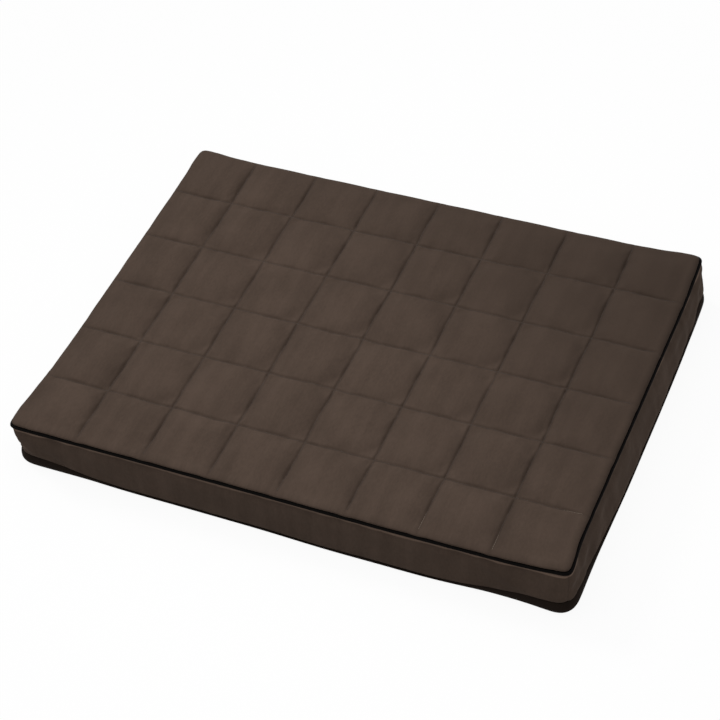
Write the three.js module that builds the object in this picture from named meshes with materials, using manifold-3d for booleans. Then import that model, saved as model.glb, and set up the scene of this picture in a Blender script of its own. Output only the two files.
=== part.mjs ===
// A flat pet bed: two foam slabs in a sewn liner, inside a zipped cover with a quilted top,
// piping round the top edge, side bands seamed at the corners and a dark base cloth.
// Millimetres, +Z up. The origin is the middle of the base, on the floor. The long sides run
// along X, the front faces -Y, and the zip is in the rear side, which faces +Y.
import * as THREE from "three";
import { mergeVertices } from "three/addons/utils/BufferGeometryUtils.js";
import Module from "manifold-3d";

const wasm = await Module();
wasm.setup();

// ---- Driving sizes ----
const LENGTH = 914; // overall, along X
const WIDTH = 686; // overall, along Y
const CORNER_RADIUS = 38; // of the outline, seen from above
const CORNER_STEPS = 6; // flats in each rounded corner
const EDGE_STEPS = 5; // flats in each large rounded edge
const FOLD_STEPS = 3; // flats in each small one
const CORD_STEPS = 10; // flats round the piping

const GAP = 0.3; // between pieces that touch

const BASE_CLOTH = 1.4;
const BASE_WALL = 22; // how far up the side the base cloth reaches

const LINER_CLOTH = 0.8;
const LINER_INSET = 6; // from the outline to the liner, room for the back of the zip
const SUPPORT_FOAM = 51; // the firm slab
const TOPPER_FOAM = 25.4; // the soft slab on it
const FOAM_TOP_ROUND = 20; // the liner's rounding along its top edges
const FOAM_BASE_ROUND = 4;

const BAND_CLOTH = 1.2;
const BAND_LEAN_HEIGHT = 20.4; // the top part of the side bands, which leans in
const TOP_INSET = 8; // how far the side bands lean in by their top edge

const PIPING_CORD = 4; // diameter of the cord inside the piping
const PIPING_CLOTH = 0.7;

const BACKING_CLOTH = 0.5;
const WADDING = 9;
const FACE_CLOTH = 1.4;
const TOP_ROUND = 14; // how far in from its seam the quilted top becomes flat

const ZIP_TO_CORNER = 29; // from each end of the coil to where the corner starts to turn
const ZIP_HEIGHT = 40; // middle of the zip, above the floor
const ZIP_OPENING = 14; // between the folded edges of the two rear bands
const ZIP_END_CLEARANCE = 8; // from the end of the coil to the end bands
const HEM = 10; // width of the fold beside the zip
const TAPE_CLOTH = 0.7;
const TAPE_WIDTH = 12; // of each half
const COIL_WIDTH = 2.35; // of each half
const COIL_THICKNESS = 2;
const COIL_SPLIT = 0.55; // from the zip's middle line to each half
const SLIDER_LENGTH = 11;
const SLIDER_PLAY = 0.6; // between the coil and the slider's side walls
const SLIDER_TAPER = 0.78; // width at the tail over width at the mouth
const SLIDER_ROUND = 1.5; // its corners, seen from outside
const SLIDER_PLATE = 1.2; // outer plate
const SLIDER_BACK = 1; // inner plate
const SLIDER_FLANGE = 0.9;
const BRIDGE_THICKNESS = 0.5; // the post that joins the slider's plates
const BRIDGE_LENGTH = 3;
const CROWN_LENGTH = 7; // the arch that holds the pull tab
const CROWN_WIDTH = 1.6;
const CROWN_BAR = 1;
const PIVOT_BAR = 1.2; // the pull tab's bar under the crown, and the tab's thickness
const PIVOT_PLAY = 0.5; // round the bar, inside the crown
const PULL_LENGTH = 28;
const PULL_WIDTH = 6.4;
const PULL_HOLE = 4.4; // length of the hole that the crown passes through
const STOP_LENGTH = 3;

// ---- Heights, from the floor up ----
const linerFloorZ = BASE_CLOTH + GAP;
const supportZ = linerFloorZ + LINER_CLOTH + GAP;
const topperZ = supportZ + SUPPORT_FOAM + GAP;
const topperTopZ = topperZ + TOPPER_FOAM;
const linerTopZ = topperTopZ + GAP + LINER_CLOTH;
const backingZ = linerTopZ + GAP;
const waddingZ = backingZ + BACKING_CLOTH + GAP;
const waddingTopZ = waddingZ + WADDING;
const faceTopZ = waddingTopZ + GAP + FACE_CLOTH;
const pipingRadius = PIPING_CORD / 2 + GAP + PIPING_CLOTH;
const slit = GAP; // between the two layers of the piping's flange
const flangeHalf = PIPING_CLOTH + slit / 2;
const seamZ = backingZ - BACKING_CLOTH - flangeHalf; // middle of the piping and its flange
const faceRimZ = seamZ + flangeHalf + GAP;
const bandTopZ = seamZ - flangeHalf - GAP;
const bandBottomZ = BASE_WALL + GAP;
const bandUprightZ = bandTopZ - BAND_LEAN_HEIGHT;

// ---- Across the rear wall, from the outside in: the y of each layer of the zip ----
const rearY = WIDTH / 2;
const coilOuterY = rearY - 2 * BAND_CLOTH + COIL_THICKNESS;
const coilInnerY = coilOuterY - COIL_THICKNESS;
const tapeOuterY = coilInnerY - GAP;
const tapeInnerY = tapeOuterY - TAPE_CLOTH;
const coilEnd = LENGTH / 2 - CORNER_RADIUS - ZIP_TO_CORNER; // half of the coil's length
const zipPanelHalf = coilEnd + ZIP_END_CLEARANCE;

// ---- Outlines ----
// A rail is a list of points on the outline, each with the direction that points out of the bed.
const CORNERS = [
  { sx: 1, sy: 1, from: 0 },
  { sx: -1, sy: 1, from: 90 },
  { sx: -1, sy: -1, from: 180 },
  { sx: 1, sy: -1, from: 270 },
];

function cornerPoint(corner, degrees) {
  const angle = THREE.MathUtils.degToRad(degrees);
  const nx = Math.cos(angle);
  const ny = Math.sin(angle);
  return {
    x: corner.sx * (LENGTH / 2 - CORNER_RADIUS) + CORNER_RADIUS * nx,
    y: corner.sy * (WIDTH / 2 - CORNER_RADIUS) + CORNER_RADIUS * ny,
    nx,
    ny,
  };
}

function cornerRail(index, first, last) {
  const corner = CORNERS[index];
  const steps = Math.max(2, Math.round((CORNER_STEPS * (last - first)) / 90));
  return Array.from({ length: steps + 1 }, (_, i) =>
    cornerPoint(corner, corner.from + first + ((last - first) * i) / steps),
  );
}

const outline = CORNERS.flatMap((_, index) => cornerRail(index, 0, 90));

const inward = (point, inset, z) => [
  point.x - point.nx * inset,
  point.y - point.ny * inset,
  z,
];

function geometryOf(positions, triangles) {
  return new THREE.BufferGeometry()
    .setAttribute("position", new THREE.Float32BufferAttribute(positions, 3))
    .setIndex(triangles);
}

// The outline repeated at each [inset, z] of a profile, which runs from one flat cap to another.
function shell(profile) {
  const positions = [];
  const triangles = [];
  const n = outline.length;
  for (const [inset, z] of profile)
    for (const point of outline) positions.push(...inward(point, inset, z));
  for (let k = 0; k + 1 < profile.length; k++)
    for (let i = 0; i < n; i++) {
      const a = k * n + i;
      const b = k * n + ((i + 1) % n);
      triangles.push(a, a + n, b + n, a, b + n, b);
    }
  const lastLoop = (profile.length - 1) * n;
  for (let i = 1; i + 1 < n; i++) {
    triangles.push(0, i, i + 1);
    triangles.push(lastLoop, lastLoop + i + 1, lastLoop + i);
  }
  return geometryOf(positions, triangles);
}

// A closed section of [inset, z] points carried along a rail, as a ring or with flat ends.
function sweep(section, rail, closed = false) {
  const flat = section.map(([inset, z]) => new THREE.Vector2(-inset, z));
  if (THREE.ShapeUtils.isClockWise(flat)) flat.reverse();
  const m = flat.length;
  const positions = rail.flatMap((point) =>
    flat.flatMap((v) => inward(point, -v.x, v.y)),
  );
  const triangles = [];
  const spans = closed ? rail.length : rail.length - 1;
  for (let i = 0; i < spans; i++)
    for (let j = 0; j < m; j++) {
      const next = ((i + 1) % rail.length) * m;
      const a = i * m + j;
      const b = i * m + ((j + 1) % m);
      const c = next + ((j + 1) % m);
      const d = next + j;
      triangles.push(a, d, c, a, c, b);
    }
  if (!closed)
    for (const [p, q, r] of THREE.ShapeUtils.triangulateShape(flat, [])) {
      const end = (rail.length - 1) * m;
      triangles.push(p, q, r, end + p, end + r, end + q);
    }
  return geometryOf(positions, triangles);
}

// Points of an ellipse's arc in [inset, z], from one angle to another; 0 degrees points outwards.
function arc(inset, z, across, up, from, to, steps) {
  return Array.from({ length: steps + 1 }, (_, i) => {
    const angle = THREE.MathUtils.degToRad(from + ((to - from) * i) / steps);
    return [inset - across * Math.cos(angle), z + up * Math.sin(angle)];
  });
}

// ---- Booleans ----
function solid(geometry) {
  const plain = geometry.index ? geometry.toNonIndexed() : geometry.clone();
  const merged = mergeVertices(
    new THREE.BufferGeometry().setAttribute("position", plain.getAttribute("position")),
    1e-4,
  );
  return new wasm.Manifold(
    new wasm.Mesh({
      numProp: 3,
      vertProperties: merged.attributes.position.array,
      triVerts: new Uint32Array(merged.index.array),
    }),
  );
}

function geometryFrom(manifold) {
  const mesh = manifold.getMesh();
  return geometryOf([...mesh.vertProperties], [...mesh.triVerts]);
}

const box = (x0, x1, y0, y1, z0, z1) =>
  new THREE.BoxGeometry(x1 - x0, y1 - y0, z1 - z0).translate(
    (x0 + x1) / 2,
    (y0 + y1) / 2,
    (z0 + z1) / 2,
  );

// ---- The foam and its liner ----
const foamInset = LINER_INSET + LINER_CLOTH + GAP;
const roundInset = LINER_INSET + FOAM_TOP_ROUND; // where the rounded top edges begin
const roundZ = linerTopZ - FOAM_TOP_ROUND;

function linerFloor() {
  const top = linerFloorZ + LINER_CLOTH;
  return shell([
    [LINER_INSET, top],
    [LINER_INSET, linerFloorZ],
  ]);
}

// How far in the liner's rounded top edge lies at height z.
const linerInsetAt = (z) =>
  roundInset - Math.sqrt(FOAM_TOP_ROUND ** 2 - Math.max(0, z - roundZ) ** 2);

function linerCover() {
  const inside = FOAM_TOP_ROUND - LINER_CLOTH;
  const rimZ = supportZ;
  return shell([
    ...arc(roundInset, roundZ, FOAM_TOP_ROUND, FOAM_TOP_ROUND, 90, 0, EDGE_STEPS),
    [LINER_INSET, rimZ],
    [LINER_INSET + LINER_CLOTH, rimZ],
    ...arc(roundInset, roundZ, inside, inside, 0, 90, EDGE_STEPS),
  ]);
}

function supportFoam() {
  const r = FOAM_BASE_ROUND;
  return shell([
    [foamInset, supportZ + SUPPORT_FOAM],
    ...arc(foamInset + r, supportZ + r, r, r, 0, -90, FOLD_STEPS),
  ]);
}

function topperFoam() {
  const r = FOAM_TOP_ROUND - LINER_CLOTH - GAP;
  return shell([
    ...arc(roundInset, roundZ, r, r, 90, 0, EDGE_STEPS),
    [foamInset, topperZ],
  ]);
}

// ---- The base cloth: a shallow tray that turns up round the liner's floor ----
function basePanel() {
  const round = LINER_INSET;
  const inside = round - BASE_CLOTH;
  return shell([
    ...arc(round, round, inside, inside, -90, 0, FOLD_STEPS),
    [BASE_CLOTH, BASE_WALL],
    [0, BASE_WALL],
    ...arc(round, round, round, round, 0, -90, FOLD_STEPS),
  ]);
}

// ---- The side bands ----
// How far a band leans in at height z.
const lean = (z) =>
  TOP_INSET * Math.max(0, (z - bandUprightZ) / BAND_LEAN_HEIGHT) ** 2;

// The heights at which a band's section needs a point, between two heights.
function bandHeights(bottom, top) {
  const leaning = Array.from(
    { length: EDGE_STEPS },
    (_, i) => bandUprightZ + (BAND_LEAN_HEIGHT * i) / (EDGE_STEPS - 1),
  );
  return [bottom, ...leaning.filter((z) => z > bottom && z < top), top];
}

function bandSection(bottom, top) {
  const heights = bandHeights(bottom, top);
  const outer = heights.map((z) => [lean(z), z]);
  const inner = heights.map((z) => [lean(z) + BAND_CLOTH, z]).reverse();
  return [...outer, ...inner];
}

// Half of the gap at a corner seam, in degrees, where the bands are nearest the corner's centre.
const seamRadius = CORNER_RADIUS - TOP_INSET - BAND_CLOTH;
const seamAngle = THREE.MathUtils.radToDeg(GAP / 2 / seamRadius);

// A band round one side, from the middle of one corner to the middle of the next.
function sideBand(firstCorner) {
  const next = (firstCorner + 1) % CORNERS.length;
  const rail = [
    ...cornerRail(firstCorner, 45 + seamAngle, 90),
    ...cornerRail(next, 0, 45 - seamAngle),
  ];
  return sweep(bandSection(bandBottomZ, bandTopZ), rail);
}

// The rear side's end bands, which cover the ends of the zip.
function zipEndBand(side) {
  const straight = { x: side * (zipPanelHalf + GAP), y: rearY, nx: 0, ny: 1 };
  const rail =
    side > 0
      ? [...cornerRail(0, 45 + seamAngle, 90), straight]
      : [straight, ...cornerRail(1, 0, 45 - seamAngle)];
  return sweep(bandSection(bandBottomZ, bandTopZ), rail);
}

const zipPanelRail = [
  { x: zipPanelHalf, y: rearY, nx: 0, ny: 1 },
  { x: -zipPanelHalf, y: rearY, nx: 0, ny: 1 },
];

// The two rear bands beside the zip, each with its edge folded under.
function zipPanelUpper() {
  const bottom = ZIP_HEIGHT + ZIP_OPENING / 2;
  const fold = Math.min(bottom + HEM, bandUprightZ);
  const heights = bandHeights(fold, bandTopZ);
  return sweep(
    [
      [0, bottom],
      ...heights.map((z) => [lean(z), z]),
      ...heights.map((z) => [lean(z) + BAND_CLOTH, z]).reverse(),
      [2 * BAND_CLOTH, fold],
      [2 * BAND_CLOTH, bottom],
    ],
    zipPanelRail,
  );
}

function zipPanelLower() {
  const top = ZIP_HEIGHT - ZIP_OPENING / 2;
  const fold = Math.max(top - HEM, bandBottomZ + 1);
  return sweep(
    [
      [0, bandBottomZ],
      [0, top],
      [2 * BAND_CLOTH, top],
      [2 * BAND_CLOTH, fold],
      [BAND_CLOTH, fold],
      [BAND_CLOTH, bandBottomZ],
    ],
    zipPanelRail,
  );
}

// ---- The piping: a cord in a folded strip whose two edges make a flange on the liner ----
const pipingInset = TOP_INSET - GAP - pipingRadius;

function pipingCord() {
  const r = PIPING_CORD / 2;
  const last = 360 - 360 / CORD_STEPS;
  return sweep(arc(pipingInset, seamZ, r, r, 0, last, CORD_STEPS - 1), outline, true);
}

function pipingSleeve() {
  const outerR = pipingRadius;
  const innerR = outerR - PIPING_CLOTH;
  const outerAngle = THREE.MathUtils.radToDeg(Math.asin(flangeHalf / outerR));
  const innerAngle = THREE.MathUtils.radToDeg(Math.asin(slit / 2 / innerR));
  const end = linerInsetAt(bandTopZ) - GAP;
  const around = (r, from, to) => arc(pipingInset, seamZ, r, r, from, to, CORD_STEPS);
  return sweep(
    [
      [end, seamZ + flangeHalf],
      ...around(outerR, 180 - outerAngle, -180 + outerAngle),
      [end, seamZ - flangeHalf],
      [end, seamZ - slit / 2],
      ...around(innerR, -180 + innerAngle, 180 - innerAngle),
      [end, seamZ + slit / 2],
    ],
    outline,
    true,
  );
}

// ---- The quilted top: backing, wadding and face, stitched together ----
const flatInset = TOP_INSET + TOP_ROUND;

// The backing and the wadding lie inside the face, whose sides curve in as they rise.
const clearOfFace = FACE_CLOTH + 2 * GAP;

function quiltBacking() {
  const inset = TOP_INSET + clearOfFace;
  return shell([
    [inset, backingZ + BACKING_CLOTH],
    [inset, backingZ],
  ]);
}

function quiltWadding() {
  const across = TOP_ROUND - clearOfFace;
  const up = waddingTopZ - faceRimZ;
  const start = THREE.MathUtils.radToDeg(Math.asin((waddingZ - faceRimZ) / up));
  return shell(arc(flatInset, faceRimZ, across, up, 90, start, EDGE_STEPS));
}

function quiltFace() {
  const up = faceTopZ - faceRimZ;
  const inside = TOP_ROUND - FACE_CLOTH;
  return shell([
    ...arc(flatInset, faceRimZ, TOP_ROUND, up, 90, 0, EDGE_STEPS),
    ...arc(flatInset, faceRimZ, inside, up - FACE_CLOTH, 0, 90, EDGE_STEPS),
  ]);
}

// ---- The zip ----
const half = (side, near, far) =>
  side > 0 ? [ZIP_HEIGHT + near, ZIP_HEIGHT + far] : [ZIP_HEIGHT - far, ZIP_HEIGHT - near];

function zipTape(side) {
  const end = zipPanelHalf + ZIP_END_CLEARANCE;
  const [z0, z1] = half(side, COIL_SPLIT, COIL_SPLIT + TAPE_WIDTH);
  return box(-end, end, tapeInnerY, tapeOuterY, z0, z1);
}

// Each half of the coil has a domed outer side.
function zipCoil(side) {
  const [z0, z1] = half(side, COIL_SPLIT, COIL_SPLIT + COIL_WIDTH);
  const middle = (z0 + z1) / 2;
  const shoulder = COIL_THICKNESS / 2;
  const dome = arc(0, 0, shoulder, COIL_WIDTH / 2, -90, 90, EDGE_STEPS).map(([inset, up]) => [
    rearY - coilOuterY + shoulder + inset,
    middle + up,
  ]);
  const back = rearY - coilInnerY;
  const rail = [coilEnd, -coilEnd].map((x) => ({ x, y: rearY, nx: 0, ny: 1 }));
  return sweep([...dome, [back, z1], [back, z0]], rail);
}

function zipTopStop(side) {
  const [z0, z1] = half(side, COIL_SPLIT, COIL_SPLIT + COIL_WIDTH);
  const x = coilEnd + GAP;
  return box(x, x + STOP_LENGTH, coilInnerY, coilOuterY, z0, z1);
}

function zipBottomStop() {
  const x = -coilEnd - GAP;
  const reach = COIL_SPLIT + COIL_WIDTH;
  return box(x - STOP_LENGTH, x, coilInnerY, coilOuterY, ZIP_HEIGHT - reach, ZIP_HEIGHT + reach);
}

// The slider's own frame: its middle at x 0, the zip's middle line at z 0.
const plateInnerY = coilOuterY + GAP;
const plateOuterY = plateInnerY + SLIDER_PLATE;
const backOuterY = tapeInnerY - GAP;
const backInnerY = backOuterY - SLIDER_BACK;
const pivotY = plateOuterY + PIVOT_PLAY + PIVOT_BAR / 2;
const crownInnerY = pivotY + PIVOT_BAR / 2 + PIVOT_PLAY;
const sliderRestX = coilEnd - SLIDER_LENGTH / 2;
const channelHalf = COIL_SPLIT + COIL_WIDTH + SLIDER_PLAY;
const sliderHalf = channelHalf + SLIDER_FLANGE;

// Seen from outside, the slider is wide at its mouth and narrows towards its tail.
function sliderOutline() {
  const front = SLIDER_LENGTH / 2;
  const wide = sliderHalf;
  const tail = wide * SLIDER_TAPER;
  const round = SLIDER_ROUND;
  const plan = new THREE.Shape();
  plan.moveTo(-front + round, -tail);
  plan.lineTo(front - 3 * round, -wide);
  plan.lineTo(front - round, -wide);
  plan.quadraticCurveTo(front, -wide, front, -wide + round);
  plan.lineTo(front, wide - round);
  plan.quadraticCurveTo(front, wide, front - round, wide);
  plan.lineTo(front - 3 * round, wide);
  plan.lineTo(-front + round, tail);
  plan.quadraticCurveTo(-front, tail, -front, tail - round);
  plan.lineTo(-front, -tail + round);
  plan.quadraticCurveTo(-front, -tail, -front + round, -tail);
  return plan;
}

// A plan in x and z, given thickness along y from y0 to y1.
function upright(plan, y0, y1) {
  return new THREE.ExtrudeGeometry(plan, {
    depth: y1 - y0,
    bevelEnabled: false,
    curveSegments: 3,
  })
    .rotateX(Math.PI / 2)
    .translate(0, y1, 0);
}

function zipSlider() {
  const outerPlate = solid(upright(sliderOutline(), plateInnerY, plateOuterY));
  const innerPlate = solid(upright(sliderOutline(), backInnerY, backOuterY));
  const flangeInnerY = tapeOuterY + GAP;
  const block = solid(upright(sliderOutline(), flangeInnerY, plateInnerY + SLIDER_PLATE / 2));
  const tunnel = solid(
    box(-SLIDER_LENGTH, SLIDER_LENGTH, backInnerY, plateInnerY, -channelHalf, channelHalf),
  );
  const flanges = block.subtract(tunnel);
  const front = SLIDER_LENGTH / 2;
  const bridge = solid(
    box(
      front - BRIDGE_LENGTH,
      front,
      backOuterY - SLIDER_BACK / 2,
      plateInnerY + SLIDER_PLATE / 2,
      -BRIDGE_THICKNESS / 2,
      BRIDGE_THICKNESS / 2,
    ),
  );
  const crownHalf = CROWN_LENGTH / 2;
  const arch = solid(
    box(
      -crownHalf,
      crownHalf,
      plateOuterY - SLIDER_PLATE / 2,
      crownInnerY + CROWN_BAR,
      -CROWN_WIDTH / 2,
      CROWN_WIDTH / 2,
    ),
  );
  const windowHalf = crownHalf - CROWN_BAR;
  const archWindow = solid(
    box(-windowHalf, windowHalf, plateOuterY, crownInnerY, -CROWN_WIDTH, CROWN_WIDTH),
  );
  const crown = arch.subtract(archWindow);
  return geometryFrom(
    outerPlate.add(flanges).add(bridge).add(innerPlate).add(crown),
  );
}

// The pull tab lies along -x from its pivot bar, with an eye for the crown and a finger hole.
function zipPull() {
  const wide = PULL_WIDTH / 2;
  const bar = PIVOT_BAR / 2;
  const plan = new THREE.Shape();
  plan.moveTo(bar, -wide);
  plan.lineTo(bar, wide);
  plan.lineTo(-PULL_LENGTH + wide, wide);
  plan.absarc(-PULL_LENGTH + wide, 0, wide, Math.PI / 2, Math.PI * 1.5, false);
  plan.lineTo(bar, -wide);
  const eyeHalf = CROWN_WIDTH / 2 + PIVOT_PLAY;
  const eye = new THREE.Path();
  eye.moveTo(-bar, -eyeHalf);
  eye.lineTo(-bar, eyeHalf);
  eye.lineTo(-bar - PULL_HOLE, eyeHalf);
  eye.lineTo(-bar - PULL_HOLE, -eyeHalf);
  eye.lineTo(-bar, -eyeHalf);
  const grip = new THREE.Path();
  grip.absarc(-PULL_LENGTH + wide, 0, wide / 2, 0, Math.PI * 2, true);
  plan.holes.push(eye, grip);
  return new THREE.ExtrudeGeometry(plan, {
    depth: PIVOT_BAR,
    bevelEnabled: false,
    curveSegments: 8,
  })
    .rotateX(Math.PI / 2)
    .translate(0, PIVOT_BAR / 2, 0);
}

// ---- The bed ----
const cloth = (color, roughness) => new THREE.MeshStandardMaterial({ color, roughness });
const suede = cloth(0x4a3d34, 0.9);
const bandCloth = cloth(0x392d27, 0.9);
const baseCloth = cloth(0x221b15, 0.95);
const pipingBlack = cloth(0x050403, 0.7);
const nylonBlack = cloth(0x0b0a09, 0.55);
const linerCloth = cloth(0xb9b6ae, 0.6);
const batting = cloth(0xe8e6e0, 1);
const foam = cloth(0xe6dcb4, 1);
const memoryFoam = cloth(0xd9e2e4, 1);
const metal = new THREE.MeshStandardMaterial({ color: 0x2a2927, roughness: 0.35, metalness: 1 });

const bed = new THREE.Group();

function place(name, geometry, material, parent = bed) {
  const mesh = new THREE.Mesh(geometry, material);
  mesh.name = name;
  parent.add(mesh);
  return mesh;
}

place("base_panel", basePanel(), baseCloth);
place("liner_floor", linerFloor(), linerCloth);
place("support_foam", supportFoam(), foam);
place("topper_foam", topperFoam(), memoryFoam);
place("liner_cover", linerCover(), linerCloth);
place("quilt_backing", quiltBacking(), linerCloth);
place("quilt_wadding", quiltWadding(), batting);
place("quilt_face", quiltFace(), suede);
place("piping_cord", pipingCord(), batting);
place("piping_sleeve", pipingSleeve(), pipingBlack);
place("left_band", sideBand(1), bandCloth);
place("front_band", sideBand(2), bandCloth);
place("right_band", sideBand(3), bandCloth);
place("zip_end_band_right", zipEndBand(1), bandCloth);
place("zip_end_band_left", zipEndBand(-1), bandCloth);
place("zip_panel_upper", zipPanelUpper(), bandCloth);
place("zip_panel_lower", zipPanelLower(), bandCloth);
place("zip_bottom_stop", zipBottomStop(), metal);
for (const [side, which] of [
  [1, "upper"],
  [-1, "lower"],
]) {
  place(`zip_tape_${which}`, zipTape(side), nylonBlack);
  place(`zip_coil_${which}`, zipCoil(side), nylonBlack);
  place(`zip_top_stop_${which}`, zipTopStop(side), metal);
}

const slider = place("zip_slider", zipSlider(), metal);
slider.position.set(sliderRestX, 0, ZIP_HEIGHT);
const pull = place("zip_pull", zipPull(), metal);
pull.position.set(sliderRestX, pivotY, ZIP_HEIGHT);

export default bed;
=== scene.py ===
# %% [markdown]
# A flat pet bed, drawn as its maker would sew it: a quilted suede-cloth top, black piping, side
# bands, a dark base cloth and a zip at the rear, all round two slabs of foam in a liner.
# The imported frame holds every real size, so this lesson only adds what a frame can't show:
# how the cloth swells, creases and catches the light. All lengths are metres.

# %% Load the fixed frame
import math
import bpy
import numpy as np
from mathutils import Matrix, Vector
from mathutils.bvhtree import BVHTree


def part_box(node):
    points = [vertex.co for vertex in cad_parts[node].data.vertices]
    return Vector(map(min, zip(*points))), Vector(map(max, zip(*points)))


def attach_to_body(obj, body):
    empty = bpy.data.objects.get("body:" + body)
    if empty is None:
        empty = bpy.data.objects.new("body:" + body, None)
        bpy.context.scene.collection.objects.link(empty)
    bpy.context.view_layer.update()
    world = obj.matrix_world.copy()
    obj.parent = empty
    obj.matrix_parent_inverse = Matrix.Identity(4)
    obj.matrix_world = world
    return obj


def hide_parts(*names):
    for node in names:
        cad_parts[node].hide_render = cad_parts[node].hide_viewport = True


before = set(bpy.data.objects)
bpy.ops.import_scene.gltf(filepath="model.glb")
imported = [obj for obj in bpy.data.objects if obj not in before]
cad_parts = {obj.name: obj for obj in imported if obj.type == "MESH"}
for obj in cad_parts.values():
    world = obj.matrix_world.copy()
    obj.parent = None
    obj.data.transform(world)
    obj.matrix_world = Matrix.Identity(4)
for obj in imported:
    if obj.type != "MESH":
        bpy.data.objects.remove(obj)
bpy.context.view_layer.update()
MM = 0.001
RNG_SEED = 7


def show(thing):
    """Puts an object into the scene."""
    bpy.context.scene.collection.objects.link(thing)
    return thing


# %% [markdown]
# Every place in this script comes from the frame's own boxes: the outline from the base cloth,
# the seam heights from the bands and the piping, and the zip from its slider and coil.

# %% Sizes read from the frame
half_long, half_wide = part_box("base_panel")[1].x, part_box("base_panel")[1].y
CORNER = 38 * MM  # radius of the outline, seen from above
COLUMNS, ROWS = 8, 6  # quilted cells along the bed and across it
cell = 2 * half_long / COLUMNS
band_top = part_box("front_band")[1].z
pipe_low, pipe_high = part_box("piping_sleeve")
pipe_z = (pipe_low.z + pipe_high.z) / 2
pipe_radius = (pipe_high.z - pipe_low.z) / 2
pipe_inset = half_long - pipe_high.x + pipe_radius
seam_inset = half_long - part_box("quilt_face")[1].x  # where the quilt meets the piping
face_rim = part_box("quilt_face")[0].z + 0.5 * MM  # it rests on the piping's shoulder
quilt_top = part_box("quilt_face")[1].z
valley = quilt_top - 5.4 * MM  # height of the stitch lines
print("cell", round(cell, 4), "band top", round(band_top, 4), "valley", round(valley, 4))

# %% [markdown]
# The camera stands high and to the right of the front, with a long lens, so that the far side
# hardly shrinks. Its axes are built from three angles, and its place is measured back from the
# middle of the quilt.

# %% Camera
AZIMUTH, ELEVATION, ROLL = 28.705, 46.263, -7.797
LENS = 106.2
DISTANCE = 29.62 * cell
ASIDE, ABOVE = 0.046 * cell, 0.288 * cell  # how far the bed sits right of and above the aim


def camera_axes(azimuth, elevation, roll):
    a, e, r = (math.radians(x) for x in (azimuth, elevation, roll))
    back = Vector((math.sin(a) * math.cos(e), -math.cos(a) * math.cos(e), math.sin(e)))
    level = Vector((math.cos(a), math.sin(a), 0))
    upright = back.cross(level)
    right = math.cos(r) * level + math.sin(r) * upright
    return right, back.cross(right), back


right, up, back = camera_axes(AZIMUTH, ELEVATION, ROLL)
eye = Vector((0, 0, valley)) + DISTANCE * back - ASIDE * right - ABOVE * up
camera = bpy.data.objects.new("camera", bpy.data.cameras.new("camera"))
camera.data.lens = LENS
camera.data.sensor_width = 36
camera.data.clip_end = 50
camera.matrix_world = Matrix.Translation(eye) @ Matrix((right, up, back)).transposed().to_4x4()
show(camera)
bpy.context.scene.camera = camera
print("camera at", tuple(round(x, 3) for x in eye))

# %% [markdown]
# The sky, the finishes and the shapes that repeat are all made of nodes, small steps that hand
# values to each other. One helper makes a node, sets it up and plugs it in, and another makes
# the node for a sum, so that each tree below reads as what it does.

# %% Node helpers
def add_node(tree, kind, inputs=None, **settings):
    """A node with its settings and inputs made. An input takes a value or another's socket."""
    node = tree.nodes.new(kind)
    for name, value in settings.items():
        setattr(node, name, value)
    for label, value in (inputs or {}).items():
        if isinstance(value, bpy.types.NodeSocket):
            tree.links.new(value, node.inputs[label])
        else:
            node.inputs[label].default_value = value
    return node


def maths(tree, operation, a, b):
    """A Math node's result. a and b are sockets or numbers."""
    return add_node(tree, "ShaderNodeMath", {0: a, 1: b}, operation=operation).outputs[0]


print("node helpers: add_node, maths")

# %% [markdown]
# The light is plain: an even white sky, one broad sun from the back left, which is what draws
# the quilting, and a wide lamp over the near half, so that the far end is dimmer. Together they
# light a level surface at about one, so a colour renders as it is written. Only rays that look
# straight at the floor or the sky see them as pure white.

# %% Light, sky and floor
SKY = 0.55
SUN = 1.15
SUN_FROM = Vector((-0.86, 0.34, 0.60))  # the direction that the sun shines from
SUN_SPREAD = 14  # degrees across, for soft edges
WINDOW = 4.2  # watts of the wide lamp over the near half
WINDOW_PLACE, WINDOW_AIM = Vector((-0.10, -0.08, 1.15)), Vector((-0.1, 0, 0))
WINDOW_SIZE = 0.8, 0.9
FLOOR_GREY = 0.42  # what the bed sees of the floor
FLOOR_GLOW = 0.93  # share of the floor's white that no shadow dims
FLOOR_SIZE, FLOOR_DROP = 12.0, 0.3 * MM  # it lies a hair below the cloth
WHITE = (1, 1, 1, 1)


def seen_directly(tree):
    """1 for camera, glossy and transmission rays, 0 for the rays that light other things."""
    path = add_node(tree, "ShaderNodeLightPath").outputs
    first = maths(tree, "MAXIMUM", path["Is Camera Ray"], path["Is Glossy Ray"])
    return maths(tree, "MAXIMUM", first, path["Is Transmission Ray"])


def make_sky():
    world = bpy.data.worlds.new("plain_sky")
    world.use_nodes = True
    tree = world.node_tree
    background = tree.nodes["Background"]
    background.inputs["Color"].default_value = WHITE
    limits = {"Value": seen_directly(tree), "To Min": SKY, "To Max": 1.0}
    strength = add_node(tree, "ShaderNodeMapRange", limits)
    tree.links.new(strength.outputs["Result"], background.inputs["Strength"])
    bpy.context.scene.world = world


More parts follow.
